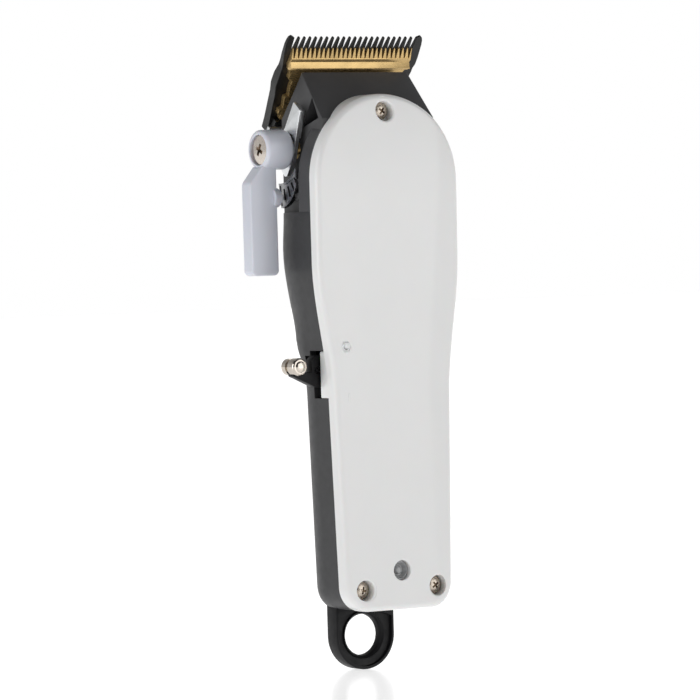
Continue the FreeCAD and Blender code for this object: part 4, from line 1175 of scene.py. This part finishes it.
@dataclass
class HangingLoop:
    """Black D-shaped loop: a rim round its edge, a sunk web, a collar round the eye, a root."""

    half: float = 9.6
    thick: float = 5.0
    eye: float = 5.7
    rim: float = 0.85
    sink: float = 1.5
    collar: float = 1.0
    top: float = 10.0

    def plate(self) -> BMesh:
        """Outer D with rounded edges."""
        outline = [(self.half, self.top), (-self.half, self.top),
                   *arc((0, 0), self.half, 180, 360, 64)]
        work = slab([(x, self.thick / 2, z) for x, z in outline], (0.0, -self.thick, 0.0))
        soften(work, 0.45, 3, 60.0)
        return work

    def web(self) -> BMesh:
        """Tool that sinks the web between rim, collar and root."""
        inner = self.half - self.rim
        outline = [(inner, 4.9), (3.0, 6.9), (-3.0, 6.9), (-inner, 4.9),
                   *arc((0, 0), inner, 180, 360, 56)]
        work = slab([(x, -self.thick / 2 - 1.0, z) for x, z in outline],
                    (0.0, 1.0 + self.sink, 0.0))
        soften(work, 0.3, 2, 60.0, lambda edge: all(
            vert.co.y > self.sink - self.thick / 2 - 0.01 for vert in edge.verts))
        return work

    def eye_collar(self) -> BMesh:
        """Collar round the eye, a little lower than the rim."""
        front, back = -self.thick / 2 + 0.8, self.thick / 2
        outer = self.eye + self.collar
        profile = [(self.eye - 0.4, back - 0.3), (outer, back - 0.3), (outer, front + 0.3),
                   (outer - 0.1, front + 0.1), (outer - 0.3, front), (self.eye + 0.5, front),
                   (self.eye - 0.4, front + 0.9), (self.eye - 0.4, back - 0.3)]
        return turned(profile, (0, 0, 0), (0, 1, 0), 72)

    def build(self) -> None:
        """Make the loop."""
        item = stored("hanging_loop_moulding", self.plate(), 35.0)
        combined(item, [self.web()], "DIFFERENCE", 35.0)
        combined(item, [self.eye_collar()], "UNION", 35.0)
        bore = [(0, -4), (self.eye + 0.9, -4), (self.eye + 0.9, -1.5), (self.eye + 0.35, -1.1),
                (self.eye, -0.5), (self.eye, 1.3), (self.eye + 0.9, 2.5), (self.eye + 1.2, 4),
                (0, 4)]
        combined(item, [turned(bore, (0, 0, 0), (0, 1, 0), 96)], "DIFFERENCE", 35.0)
        tongue = block((-6.7, -2.5, 9.5), (6.7, 1.3, 14.0))
        combined(item, [tongue], "UNION", 35.0)
        fit(item, Place("housing", ("hanging_loop",), "loop_black"), (LOOP_BLACK,))


# ------------------------------------------------------------------ screws and lens

@dataclass
class PanScrew:
    """Pan-head screw with a cross recess."""

    head: float
    deep: float
    shank: float
    long: float
    thread: float = 0.0
    crown: float = 0.62

    def solid(self, start: Spot, way: Spot, spin: float = 20.0) -> tuple[BMesh, BMesh, BMesh]:
        """Turned screw and the tool for its recess, both placed.

        Args:
            start: Middle of the head's top.
            way: Direction from the head to the tip.
            spin: Degrees that the recess is turned.

        Returns:
            The screw and the two halves of the recess tool.
        """
        sag = self.deep * self.crown
        sphere = (self.head ** 2 + sag ** 2) / (2 * sag)
        profile = [(0.0, 0.0)]
        for share in (0.2, 0.4, 0.6, 0.75, 0.88, 0.96):
            out = self.head * share
            profile.append((out, sphere - math.sqrt(sphere ** 2 - out ** 2)))
        profile += [(self.head, sag * 1.08), (self.head, self.deep - 0.15),
                    (self.head - 0.15, self.deep), (self.shank, self.deep)]
        level, pitch = self.deep + 0.6, 0.9
        while self.thread > 0 and level + pitch < self.deep + self.long:
            profile += [(self.shank - self.thread, level), (self.shank, level + pitch * 0.5)]
            level += pitch
        end = self.deep + self.long
        profile += [(self.shank - self.thread, end - 0.6), (0.0, end)]
        body = turned(profile, start, way, 40)
        arm, narrow, tip = self.head * 0.52, self.head * 0.14, self.head * 0.30
        wings = []
        for flip in (0, 90):
            wing = block((-arm, -narrow, -1.0), (arm, narrow, self.deep * 0.8))
            for vert in wing.verts:
                if vert.co.z > 0:
                    vert.co.x = math.copysign(tip, vert.co.x)
                    vert.co.y *= 0.7
            bmesh.ops.rotate(wing, cent=(0, 0, 0), verts=wing.verts,
                             matrix=Matrix.Rotation(math.radians(flip + spin), 3, "Z"))
            turn = Vector((0, 0, 1)).rotation_difference(Vector(way)).to_matrix().to_4x4()
            bmesh.ops.transform(wing, matrix=Matrix.Translation(start) @ turn, verts=wing.verts)
            wings.append(wing)
        return body, wings[0], wings[1]


@dataclass
class CoverScrews:
    """The three screws that hold the cover."""

    def build(self) -> None:
        """Make each screw, cut its recess and join them in one piece."""
        kind = PanScrew(2.5, 1.6, 1.25, 8.0, 0.22)
        places = (((-12.0, -19.9, 13.9), 12.0), ((12.0, -19.8, 13.9), 55.0),
                  ((0.0, -17.9, 144.6), 35.0))
        solids, first, second = zip(*(kind.solid(at, (0, 1, 0), spin) for at, spin in places))
        item = stored("cover_screws", merged(*solids), 28.0)
        combined(item, list(first), "DIFFERENCE", 28.0)
        combined(item, list(second), "DIFFERENCE", 28.0)
        fit(item, Place("housing", ("housing_screws",), "screw_nickel"), (SCREW_NICKEL,))


@dataclass
class IndicatorLens:
    """Smoked lens with a flat collar and a shallow dome."""

    radius: float = 2.6
    centre: Flat = (0.0, 18.8)

    def build(self) -> None:
        """Make the lens."""
        x, z = self.centre
        r = self.radius
        profile = [(0.0, 0.0), (r + 0.9, 0.0), (r + 0.9, 0.7), (r, 0.7), (r, 3.9), (r - 0.12, 4.1),
                   (r - 0.3, 4.1), (1.55, 2.6), (1.2, 2.5), (1.15, 3.0), (0.9, 3.4),
                   (0.5, 3.6), (0.0, 3.66)]
        made("indicator_lens", turned(profile, (x, -16.3, z), (0, -1, 0), 56),
             Place("housing", ("led_lens",), "lens_smoke"), (LENS_SMOKE,), 40.0)


# ------------------------------------------------------------------ blades

def comb(right: Sequence[Flat], left: Sequence[Flat], gaps: int, pitch: float, at: float, deep: float,
         tip: float, root: float, soft: float) -> list[Flat]:
    """Closed plan of a blade with a row of tapered gaps along its front.

    Args:
        right: Right edge from the rear's middle to the right end tooth's outer corner.
        left: Left edge in the same order, mirrored to the right.
        gaps: Number of gaps.
        pitch: Distance between two gaps.
        at: Y of the tooth tips.
        deep: Depth of a gap.
        tip: Width of a gap at the tips.
        root: Width of a gap at its root.
        soft: Rounding of a tooth's tip.

    Returns:
        (x, y) points, anticlockwise.
    """
    plan = list(right)
    for number in range(gaps):
        middle = ((gaps - 1) / 2 - number) * pitch
        low = at - deep + root / 2
        plan += [(middle + tip / 2 + soft, at), (middle + tip / 2 + soft * 0.25, at - soft * 0.4),
                 (middle + tip / 2, at - soft * 1.6), (middle + root / 2, low),
                 (middle + root * 0.3, low - root * 0.38), (middle, at - deep),
                 (middle - root * 0.3, low - root * 0.38), (middle - root / 2, low),
                 (middle - tip / 2, at - soft * 1.6),
                 (middle - tip / 2 - soft * 0.25, at - soft * 0.4), (middle - tip / 2 - soft, at)]
    return plan + [(-x, y) for x, y in reversed(left)]


@dataclass
class FixedBlade:
    """Black coated blade with long tapered teeth, a hollow-ground sole and a heel pad."""

    half: float = 22.5
    heel: float = 18.2
    long: float = 33.0
    thick: float = 3.0
    gaps: int = 22
    pitch: float = 1.86
    deep: float = 8.2
    sole: tuple[Flat, ...] = ((0, 0.7), (4, 1.05), (8, 1.6), (11, 2.25), (14, 3.0), (40, 3.0))

    def plate(self) -> BMesh:
        """Toothed plate, thinned towards the tips."""
        rear = [(self.heel - 0.6, -self.long), (self.heel, -self.long + 0.6),
                (self.heel + 0.3, -29.3), (self.heel + 1.1, -24.0)]
        tip = [(self.half - 0.5, -0.85), (self.half - 1.0, -0.42), (self.half - 1.3, -0.4)]
        left = rear + [(self.heel + 1.7, -19.9), (self.heel + 2.4, -17.2), (self.heel + 2.5, -10.9),
                       (self.half - 1.5, -9.4), (self.half - 0.8, -6.6), (self.half - 0.3, -3.4),
                       (self.half - 0.3, -1.8)] + tip
        right = rear + [(self.heel + 1.9, -19.9), (self.heel + 3.6, -17.2), (self.half - 0.2, -15.6),
                        (self.half + 0.2, -12.2), (self.half + 0.2, -11.0), (self.half + 0.6, -9.8),
                        (self.half + 0.6, -7.6), (self.half + 0.2, -3.2),
                        (self.half - 0.1, -1.8)] + tip
        plan = comb(right, left, self.gaps, self.pitch, -0.85, self.deep - 0.85, 1.3, 0.42, 0.16)
        work = slab([(x, y, 0.0) for x, y in plan], (0.0, 0.0, -1.0))
        sliced(work, 1, (-1.2, -2.6, -4.2, -6.2, -8.4, -10.0, -11.5, -13.0, -14.0))
        for vert in work.verts:
            if vert.co.z < -0.5:
                vert.co.z = -eased(self.sole, -vert.co.y)
        soften(work, 0.07, 1, 45.0)
        for face in work.faces:
            middle = face.calc_center_median()
            flank = abs(face.normal.x) > 0.45 and middle.y > -self.deep - 0.2
            end_tooth = abs(middle.x) > 20.9 and middle.y > -9.4 and middle.z > -0.3
            if flank or end_tooth:
                face.material_index = 1
        return work

    def build(self) -> None:
        """Make the blade with its pad and screw holes."""
        item = stored("fixed_blade", BladePlane.lay(self.plate()), 24.0)
        pad = block((-self.heel + 0.5, -self.long, -0.5), (self.heel - 0.5, -27.6, 1.7))
        soften(pad, 0.2, 2)
        rails = [block((side * 14.6 - 0.9, -26.5, -0.4), (side * 14.6 + 0.9, -12.5, 0.04))
                 for side in (-1, 1)]
        combined(item, [BladePlane.lay(part) for part in (pad, *rails)], "UNION", 24.0)
        holes = [BladePlane.lay(turned([(0, -4), (1.55, -4), (1.55, 3), (0, 3)],
                                       (side * 8.0, -30.2, 0.0), (0, 0, 1), 32))
                 for side in (-1, 1)]
        combined(item, holes, "DIFFERENCE", 24.0)
        fit(item, Place("taper_slide", ("stationary_blade",), "blade_black"),
            (BLADE_BLACK, BLADE_WORN))


@dataclass
class Cutter:
    """Gold moving blade: short teeth, a ridge, a groove, a band with a painted highlight on its top,
    and stepped sides.
    """

    half: float = 19.7
    start: float = 4.0
    deep: float = 2.7
    gaps: int = 27
    pitch: float = 1.46
    film: float = 0.05
    thick: float = 1.5
    shift: float = -0.2

    def plate(self) -> BMesh:
        """Toothed plate with stepped sides and two rear feet."""
        root = self.start + self.deep
        right = [(12.75, -20.3), (13.6, -23.2), (14.3, -23.6), (14.6, -26.8), (15.1, -27.0),
                 (16.4, -27.0), (16.6, -26.7), (16.6, -25.5), (17.6, -25.2), (17.7, -23.9),
                 (16.7, -23.2), (17.4, -19.9), (17.2, -19.5), (16.3, -19.2), (16.9, -16.2),
                 (16.8, -14.2), (18.1, -13.7), (18.4, -13.2), (18.3, -12.2), (18.8, -11.2),
                 (self.half - 0.3, -root - 3.2), (self.half, -root - 2.6), (self.half, -root - 1),
                 (self.half, -self.start)]
        right = [(x, min(y, -root - 4.9) if x < 13.0 else y) for x, y in right]
        plan = comb(right, right, self.gaps, self.pitch, -self.start, self.deep, 1.12, 0.34, 0.06)
        work = slab([(x, y, self.film) for x, y in plan], (0.0, 0.0, self.thick))
        sliced(work, 1, (-5.2, -root))
        for vert in work.verts:
            if vert.co.z > 0.5:
                vert.co.z = self.film + eased(((4.0, 0.55), (5.2, 0.95), (6.7, 1.5)), -vert.co.y)
        soften(work, 0.06, 1, 45.0)
        return work

    def band(self) -> BMesh:
        """Ridge, groove and rounded band across the blade; the band's top faces get the painted
        highlight.
        """
        root, top = self.start + self.deep, self.film + self.thick
        side = [(-root + 0.1, self.film + 0.4), (-root + 0.1, top + 0.1), (-root - 0.1, top + 0.22),
                (-root - 0.6, top + 0.22), (-root - 0.72, top + 0.05), (-root - 0.78, top - 0.6),
                (-root - 1.05, top - 0.6), (-root - 1.15, top), (-root - 2.35, top + 1.12)]
        side += [(-root - 2.55 + 0.3 * math.sin(math.radians(turn)),
                  top + 0.97 + 0.3 * math.cos(math.radians(turn))) for turn in range(20, -91, -15)]
        side += [(-root - 2.85, top + 0.7), (-root - 3.1, top + 0.55), (-root - 3.3, top + 0.62),
                 (-root - 3.45, top + 0.5), (-root - 3.6, top + 0.05), (-root - 3.6, self.film + 0.4)]
        work = slab([(-self.half, y, z) for y, z in side], (2 * self.half, 0.0, 0.0))
        # Painted highlight: the band's upward top faces take material 1, the brighter gold.
        for face in work.faces:
            middle = face.calc_center_median()
            if middle.z > top + 0.2 and abs(face.normal.x) < 0.5:
                face.material_index = 1
        soften(work, 0.12, 2, 60.0, lambda edge: abs(abs(edge.verts[0].co.x) - self.half) < 1e-4
               and abs(abs(edge.verts[1].co.x) - self.half) < 1e-4)
        return work

    def build(self) -> None:
        """Make the cutter."""
        item = stored("moving_blade_gold", BladePlane.lay(self.plate(), self.shift), 24.0)
        combined(item, [BladePlane.lay(self.band(), self.shift)], "UNION", 24.0)
        fit(item, Place("cutter", ("moving_blade",), "cutter_gold"), (CUTTER_GOLD, CUTTER_PAINTED_HIGHLIGHT))


@dataclass
class Bracket:
    """Zinc-plated sheet bracket: a plate on the blade's heel and an ear beside the lever."""

    pivot: Flat = (-1.5, 134.8)
    ear_outer: float = 20.8
    sheet: float = 1.2
    travel: float = 3.0

    def off_pivot(self, slide: float, rise: float) -> Flat:
        """(Y, Z) at a distance along the blades and away from the neck, from the pivot."""
        lean = BladePlane.LEAN
        return (self.pivot[0] + slide * math.sin(lean) + rise * math.cos(lean),
                self.pivot[1] - slide * math.cos(lean) + rise * math.sin(lean))

    def ear(self) -> BMesh:
        """Ear beside the lever, which reaches the plate behind the hub."""
        outline = [(-5.6, 147.8), (-8.6, 145.3), (-6.1, 137.5), (-4.6, 132.0), (-2.6, 129.4),
                   (-1.1, 127.4), (0.1, 127.4), (1.6, 129.3), (7.0, 134.2),
                   BladePlane.point(33.0, 1.7), BladePlane.point(31.6, 1.7), (0.9, 139.4),
                   (-0.7, 140.7)]
        work = slab([(-self.ear_outer, u, v) for u, v in outline], (self.sheet, 0.0, 0.0))
        soften(work, 0.5, 3, 12.0, lambda edge: abs(edge.verts[0].co.x - edge.verts[1].co.x) > 1)
        soften(work, 0.12, 2, 50.0)
        return work

    def lip(self) -> BMesh:
        """Lip folded inwards along the ear's front edge."""
        outline = [(-8.6, 145.2), (-6.15, 137.6), (-5.3, 137.85), (-7.75, 145.45)]
        work = slab([(-self.ear_outer, u, v) for u, v in outline], (1.75, 0.0, 0.0))
        soften(work, 0.2, 3, 50.0)
        return work

    def build(self) -> None:
        """Make the bracket with the slots for the pivot and the eccentric pin."""
        plate = slab([(x, y, 1.7) for x, y in (
            (-13.0, -20.0), (13.0, -20.0), (13.0, -29.0), (16.0, -29.0), (16.0, -33.0),
            (-19.9, -33.0), (-19.9, -29.0), (-13.0, -29.0))], (0.0, 0.0, self.sheet))
        soften(plate, 0.15, 2, 50.0)
        item = stored("zinc_bracket", self.ear(), 30.0)
        combined(item, [BladePlane.lay(plate), self.lip()], "UNION", 30.0)
        hole = 1.9
        long = [self.off_pivot(-self.travel, hole), self.off_pivot(0, hole),
                self.off_pivot(hole * 0.7, hole * 0.7), self.off_pivot(hole, 0),
                self.off_pivot(hole * 0.7, -hole * 0.7), self.off_pivot(0, -hole),
                self.off_pivot(-self.travel, -hole),
                self.off_pivot(-self.travel - hole * 0.7, -hole * 0.7),
                self.off_pivot(-self.travel - hole, 0),
                self.off_pivot(-self.travel - hole * 0.7, hole * 0.7)]
        pin = [self.off_pivot(-self.travel / 2 + u, v)
               for u, v in ((-1.3, 0.9), (1.3, 0.9), (1.3, 4.4), (-1.3, 4.4))]
        cuts = [slab([(-self.ear_outer - 1, u, v) for u, v in outline], (3.2, 0.0, 0.0))
                for outline in (long, pin)]
        holes = [BladePlane.lay(turned([(0, 0), (1.5, 0), (1.5, 4), (0, 4)],
                                       (side * 8.0, -30.2, 0.5), (0, 0, 1), 28))
                 for side in (-1, 1)]
        combined(item, cuts + holes, "DIFFERENCE", 30.0)
        fit(item, Place("taper_slide", ("blade_bracket",), "bracket_zinc"), (ZINC,))


@dataclass
class HeelScrews:
    """Two screws through the fixed blade's sole into the bracket."""

    def build(self) -> None:
        """Make each screw, cut its recess and join them in one piece."""
        kind = PanScrew(2.8, 1.5, 1.5, 5.9, 0.2)
        lean = BladePlane.LEAN
        way = (0.0, -math.cos(lean), -math.sin(lean))
        solids, first, second = zip(*(kind.solid(
            (side * 8.0, *BladePlane.point(30.2, -4.5)), way, spin)
            for side, spin in ((-1, 30.0), (1, 65.0))))
        item = stored("blade_heel_screws", merged(*solids), 28.0)
        combined(item, list(first), "DIFFERENCE", 28.0)
        combined(item, list(second), "DIFFERENCE", 28.0)
        fit(item, Place("taper_slide", ("blade_screws",), "screw_steel"), (DRAWN_STEEL,))


# ------------------------------------------------------------------ taper lever

@dataclass
class TaperLever:
    """Pale lever: a round hub with a screw well, a stepped flat handle and a detent nub."""

    pivot: Flat = (-1.5, 134.8)
    hub_radius: float = 5.5
    hub_inner: float = 21.5
    hub_outer: float = 30.2
    inner: float = 25.8
    outer: float = 34.4
    deep: float = 4.8
    reach: float = 34.4

    def handle(self) -> BMesh:
        """Flat handle with a slanted shoulder and rounded ends."""
        y, z = self.pivot
        end = z - self.reach
        outline = [(-self.outer, end + 0.9), (-self.outer + 0.9, end), (-self.inner - 0.9, end),
                   (-self.inner, end + 0.9), (-self.inner, z - 2.5), (-self.hub_outer + 0.1, z - 1),
                   (-self.hub_outer + 0.1, z - 3.9), (-self.outer + 0.2, z - 8.9),
                   (-self.outer, z - 9.7)]
        work = slab([(x, y - self.deep / 2, v) for x, v in outline], (0.0, self.deep, 0.0))
        soften(work, 0.55, 4, 20.0)
        return work

    def hub(self) -> BMesh:
        """Hub with rounded edges and the well for the pivot screw."""
        r, long = self.hub_radius, self.hub_outer - self.hub_inner
        well, floor = 4.2, long - 2.6
        profile = [(1.66, 0.0)]
        profile += [(r - 1.2 + 1.2 * math.sin(math.radians(turn)),
                     1.2 - 1.2 * math.cos(math.radians(turn))) for turn in range(0, 91, 15)]
        profile += [(r - 1.1 + 1.1 * math.cos(math.radians(turn)),
                     long - 1.1 + 1.1 * math.sin(math.radians(turn)))
                    for turn in range(0, 91, 15)]
        profile += [(well + 0.15, long), (well, long - 0.15), (well, floor), (1.66, floor),
                    (1.66, 0.0)]
        return turned(profile, (-self.hub_inner, *self.pivot), (-1, 0, 0), 72)

    def build(self) -> None:
        """Join hub, handle and nub, and drill the pin's hole."""
        y, z = self.pivot
        item = stored("taper_lever_moulding", self.handle(), 35.0)
        combined(item, [turned([(0, -0.1), (self.hub_radius - 0.3, -0.1),
                                (self.hub_radius - 0.3, 9.5), (0, 9.5)],
                               (-self.hub_inner, y, z), (-1, 0, 0), 64)], "DIFFERENCE", 35.0)
        nub = turned([(0, 0), (1.9, 0), (2.4, 0.2), (2.7, 0.7), (2.7, 2.4), (0, 2.4)],
                     (-24.6, y - 1.0, z - 13.2), (-1, 0, 0), 48)
        combined(item, [self.hub(), nub], "UNION", 35.0)
        pin = turned([(0, 0), (0.7, 0), (1.1, 0.2), (1.2, 0.5), (1.2, 1.6), (0, 1.6)],
                     (-23.5, y - 1.0, z - 13.2), (-1, 0, 0), 32)
        for face in pin.faces:
            face.material_index = 1
        combined(item, [pin], "UNION", 35.0)
        turn = math.radians(37 + 30)
        hole = turned([(0, -0.7), (1.2, -0.7), (1.2, 2.0), (0, 2.0)],
                      (-self.hub_inner, y + 3.0 * math.cos(turn), z + 3.0 * math.sin(turn)),
                      (-1, 0, 0), 28)
        combined(item, [hole], "DIFFERENCE", 35.0)
        fit(item, Place("taper_lever", ("taper_lever",), "lever_pale"), (LEVER_WHITE, BLACK_AND_PAINTED_SHADE))


@dataclass
class PivotScrew:
    """Nickel screw in the lever's hub."""

    def build(self) -> None:
        """Make the screw and cut its recess."""
        body, first, second = PanScrew(4.05, 2.0, 1.6, 16.1, crown=0.16).solid(
            (-29.85, -1.5, 134.8), (1, 0, 0), 28.0)
        item = stored("pivot_screw", body, 28.0)
        combined(item, [first], "DIFFERENCE", 28.0)
        combined(item, [second], "DIFFERENCE", 28.0)
        fit(item, Place("housing", ("lever_screw",), "pivot_nickel"), (PIVOT_NICKEL,))


@dataclass
class DetentRing:
    """Plated crescent with dark radial slots and raised lips along its edges."""

    pivot: Flat = (-1.5, 134.8)
    inner: float = 9.3
    rim_centre: Flat = (-1.0, 127.4)
    rim: float = 8.7
    face: float = 23.0
    thick: float = 1.0
    end: float = -0.6
    back: float = -9.25
    slots: tuple[tuple[float, float, float], ...] = (
        (8.0, 10.9, 14.0), (19.0, 10.7, 13.7), (30.0, 10.5, 13.2), (41.0, 10.3, 12.0))

    def spot(self, radius: float, angle: float) -> Flat:
        """(Y, Z) at a radius and an angle forward of straight down."""
        turn = math.radians(angle)
        return (self.pivot[0] - radius * math.sin(turn), self.pivot[1] - radius * math.cos(turn))

    def outline(self, grow: float) -> list[Flat]:
        """Crescent between the inner arc and the rim, both moved out by a margin."""
        inner = [self.spot(self.inner + grow, angle) for angle in range(-5, 60, 3)]
        inner = [(y, z) for y, z in inner if self.back + grow < y]
        y, z = self.rim_centre
        outer = arc((y, z), self.rim - grow, 265, 180 - 22, 30)
        outer = [(max(self.back + grow, u), v) for u, v in outer]
        last = inner[-1][1]
        outer = [spot for spot in outer if spot[1] < last]
        return inner + [(self.back + grow, last)] + list(reversed(outer))

    def plate(self, grow: float, inner: float, outer: float) -> BMesh:
        """Crescent slab between two planes of X, cut straight at its free end."""
        outline = [(min(u, self.end - grow), v) for u, v in self.outline(grow)]
        work = slab([(-outer, u, v) for u, v in outline], (outer - inner, 0.0, 0.0))
        seal(work, 1e-3)
        return work

    def build(self) -> None:
        """Raise the lips, cut the slots and dress the crescent."""
        item = stored("detent_quadrant", self.plate(0.0, self.face - self.thick,
                                                    self.face + 0.25), 30.0)
        cuts = [self.plate(0.55, self.face, self.face + 1.0)]
        for angle, start, stop in self.slots:
            corners = [(start, -0.42), (stop, -0.42), (stop, 0.42), (start, 0.42)]
            spots = [self.spot(radius, angle + math.degrees(side / radius))
                     for radius, side in corners]
            cuts.append(slab([(-24.0, y, z) for y, z in spots], (3.0, 0.0, 0.0)))
        combined(item, cuts, "DIFFERENCE", 30.0)
        fit(item, Place("housing", ("detent_ring",), "ring_chrome"), (RING_CHROME,))


# ------------------------------------------------------------------ power switch

@dataclass
class PowerSwitch:
    """Black gusset arm from the side window with a stepped and plated knob at its tip."""

    depth: float = -10.5
    level: float = 75.4
    thick: float = 2.8
    radius: float = 2.45
    long: float = 7.0
    out: float = 26.1

    def arm(self) -> BMesh:
        """Arm with a slanted lower edge and a dimple."""
        wall = 19.9
        seat = self.level - self.radius
        outline = [(-13.2, self.level - 5.8), (-wall - 0.4, self.level - 5.8), (-27.4, seat - 0.1),
                   (-27.4, seat + 0.8), (-21.5, seat + 0.8), (-21.5, self.level + 1.7),
                   (-wall - 0.3, 78.4), (-13.2, 78.4)]
        work = slab([(x, self.depth - self.thick / 2, z) for x, z in outline],
                    (0.0, self.thick, 0.0))
        soften(work, 0.2, 2, 20.0)
        return work

    def knob(self) -> BMesh:
        """Knob turned in steps: domed front, barrel, groove and collar."""
        r, long = self.radius, self.long
        profile = [(0.0, 0.0), (0.6, 0.04), (1.1, 0.16), (1.5, 0.38), (1.62, 0.5), (1.72, 0.5)]
        profile += [(1.72 + (r - 1.72) * math.sin(math.radians(turn)),
                     0.5 + 0.8 * (1 - math.cos(math.radians(turn)))) for turn in range(15, 91, 15)]
        profile += [(r, long * 0.5), (r - 0.1, long * 0.52), (r - 0.55, long * 0.53),
                    (r - 0.55, long * 0.68), (r - 0.15, long * 0.69), (r - 0.12, long * 0.94),
                    (r - 0.3, long * 0.985), (r - 0.6, long), (0.0, long)]
        return turned(profile, (-self.out, self.depth - long / 2, self.level), (0, 1, 0), 56)

    def build(self) -> None:
        """Make the arm and the knob."""
        item = stored("switch_arm_black", self.arm(), 30.0)
        dimple = turned([(0.55, -0.25), (0.9, -0.25), (0.9, 0.6), (0.55, 0.6), (0.55, -0.25)],
                        (-19.6, self.depth - self.thick / 2, 74.2), (0, 1, 0), 28)
        combined(item, [dimple], "DIFFERENCE", 30.0)
        fit(item, Place("power_switch", ("switch_arm",), "arm_black"), (BLACK_AND_PAINTED_SHADE,))
        knob = stored("switch_knob_plated", self.knob(), 30.0)
        seat = block((-27.6, self.depth - 1.55, self.level - 4),
                     (-21.0, self.depth + 1.55, self.level - self.radius + 1.0))
        combined(knob, [seat], "DIFFERENCE", 30.0)
        fit(knob, Place("power_switch", ("switch_knob",), "knob_chrome"), (CHROME,))


# ------------------------------------------------------------------ studio

@dataclass
class Studio:
    """Pale floor, soft lights and the camera."""

    floor_level: float = -9.62
    camera_place: Spot = (-0.68933, -1.04008, 0.10867)
    right: Spot = (0.833156, -0.552279, -0.028960)
    up: Spot = (0.037251, 0.003795, 0.999299)
    back: Spot = (-0.551782, -0.833651, 0.023734)
    lens_mm: float = 231.43
    sensor_mm: float = 36.0
    sideways: tuple[float, ...] = (-0.3, 0.9, 0.15, 0.6)
    forwards: tuple[float, ...] = (-0.1, 0.5, 0.0, 0.6)
    upwards: tuple[float, ...] = (0.15, 0.8, 1.0, 0.3)

    def camera(self) -> None:
        """Place the camera in front and to the left, almost level."""
        data = bpy.data.cameras.new("studio_camera")
        data.lens, data.sensor_width = self.lens_mm, self.sensor_mm
        data.clip_start, data.clip_end = 0.05, 20.0
        item = bpy.data.objects.new("studio_camera", data)
        columns = zip(self.right, self.up, self.back, self.camera_place)
        item.matrix_world = Matrix([*columns, (0.0, 0.0, 0.0, 1.0)])
        bpy.context.scene.collection.objects.link(item)
        bpy.context.scene.camera = item

    def softbox(self, name: str, place: Spot, aim: Spot, size: Flat, power: float) -> None:
        """Add one rectangular light.

        Args:
            name: Its name.
            place: Where it stands, in metres.
            aim: What it points at.
            size: Width and height in metres.
            power: Watts.
        """
        data = bpy.data.lights.new(name, "AREA")
        data.shape = "RECTANGLE"
        data.size, data.size_y, data.energy = *size, power
        item = bpy.data.objects.new(name, data)
        item.location = place
        item.rotation_mode = "QUATERNION"
        item.rotation_quaternion = (Vector(aim) - Vector(place)).to_track_quat("-Z", "Y")
        bpy.context.scene.collection.objects.link(item)

    def floor(self) -> None:
        """Lay a wide pale floor with a faint sheen."""
        work = bmesh.new()
        bmesh.ops.create_grid(work, x_segments=2, y_segments=2, size=6000.0)
        bmesh.ops.translate(work, vec=(0, 0, self.floor_level), verts=work.verts)
        item = stored("pale_floor", work, 30.0)
        wiring = Wiring("floor_paper")
        wiring.feed("Base Color", wiring.between(
            wiring.spread(wiring.clouds(80.0, 2.0), 0.0, 1.0), (0.93, 0.93, 0.93),
            (0.96, 0.96, 0.96)))
        wiring.set(Roughness=0.2, Specular_IOR_Level=0.5, Emission_Color=(1, 1, 1, 1),
                   Emission_Strength=0.62)
        item.data.materials.append(wiring.material)

    def sky(self) -> None:
        """Surround everything with white: bright behind and on the right, dim above."""
        world = bpy.data.worlds.new("white_room")
        bpy.context.scene.world = world
        world.use_nodes = True
        nodes, links = world.node_tree.nodes, world.node_tree.links
        white = nodes["Background"]
        white.inputs["Color"].default_value = (1, 1, 1, 1)
        spot = nodes.new("ShaderNodeTexCoord")
        split = nodes.new("ShaderNodeSeparateXYZ")
        links.new(spot.outputs["Generated"], split.inputs[0])
        total: bpy.types.NodeSocket | None = None
        for axis, span in enumerate((self.sideways, self.forwards, self.upwards)):
            ramp = nodes.new("ShaderNodeMapRange")
            ramp.interpolation_type = "SMOOTHSTEP"
            for name, value in zip(("From Min", "From Max", "To Min", "To Max"), span):
                ramp.inputs[name].default_value = value
            links.new(split.outputs[axis], ramp.inputs["Value"])
            if total is None:
                total = ramp.outputs[0]
                continue
            joined = nodes.new("ShaderNodeMath")
            joined.operation = "ADD" if axis == 1 else "MULTIPLY"
            links.new(total, joined.inputs[0])
            links.new(ramp.outputs[0], joined.inputs[1])
            total = joined.outputs[0]
        soft = nodes.new("ShaderNodeBackground")
        links.new(total, soft.inputs["Strength"])
        path = nodes.new("ShaderNodeLightPath")
        choice = nodes.new("ShaderNodeMixShader")
        links.new(path.outputs["Is Camera Ray"], choice.inputs[0])
        links.new(soft.outputs[0], choice.inputs[1])
        links.new(white.outputs[0], choice.inputs[2])
        links.new(choice.outputs[0], nodes["World Output"].inputs["Surface"])

    def build(self) -> None:
        """Set up camera, lights, floor and surroundings."""
        bpy.context.scene.view_settings.view_transform = "Standard"
        self.camera()
        self.floor()
        self.sky()
        middle = (0.0, 0.0, 0.085)
        self.softbox("key_front", (0.5, -1.25, 0.3), middle, (1.4, 1.3), 8.0)
        self.softbox("side_left", (-1.0, -0.05, 0.2), middle, (0.5, 1.0), 5.0)
        log.info("studio: camera, two lights and floor")


def main() -> None:
    """Build every sub-assembly in order, dress the inner pieces and set the studio."""
    logging.basicConfig(level=logging.INFO, format="%(message)s")
    for part in (FrontCover(), RearHousing(), Neck(), HangingLoop(), CoverScrews(),
                 IndicatorLens(), FixedBlade(), Cutter(), Bracket(), HeelScrews(),
                 TaperLever(), PivotScrew(), DetentRing(), PowerSwitch()):
        part.build()
    for inner in Hidden:
        inner.dress()
    Studio().build()


if __name__ == "__main__":
    main()
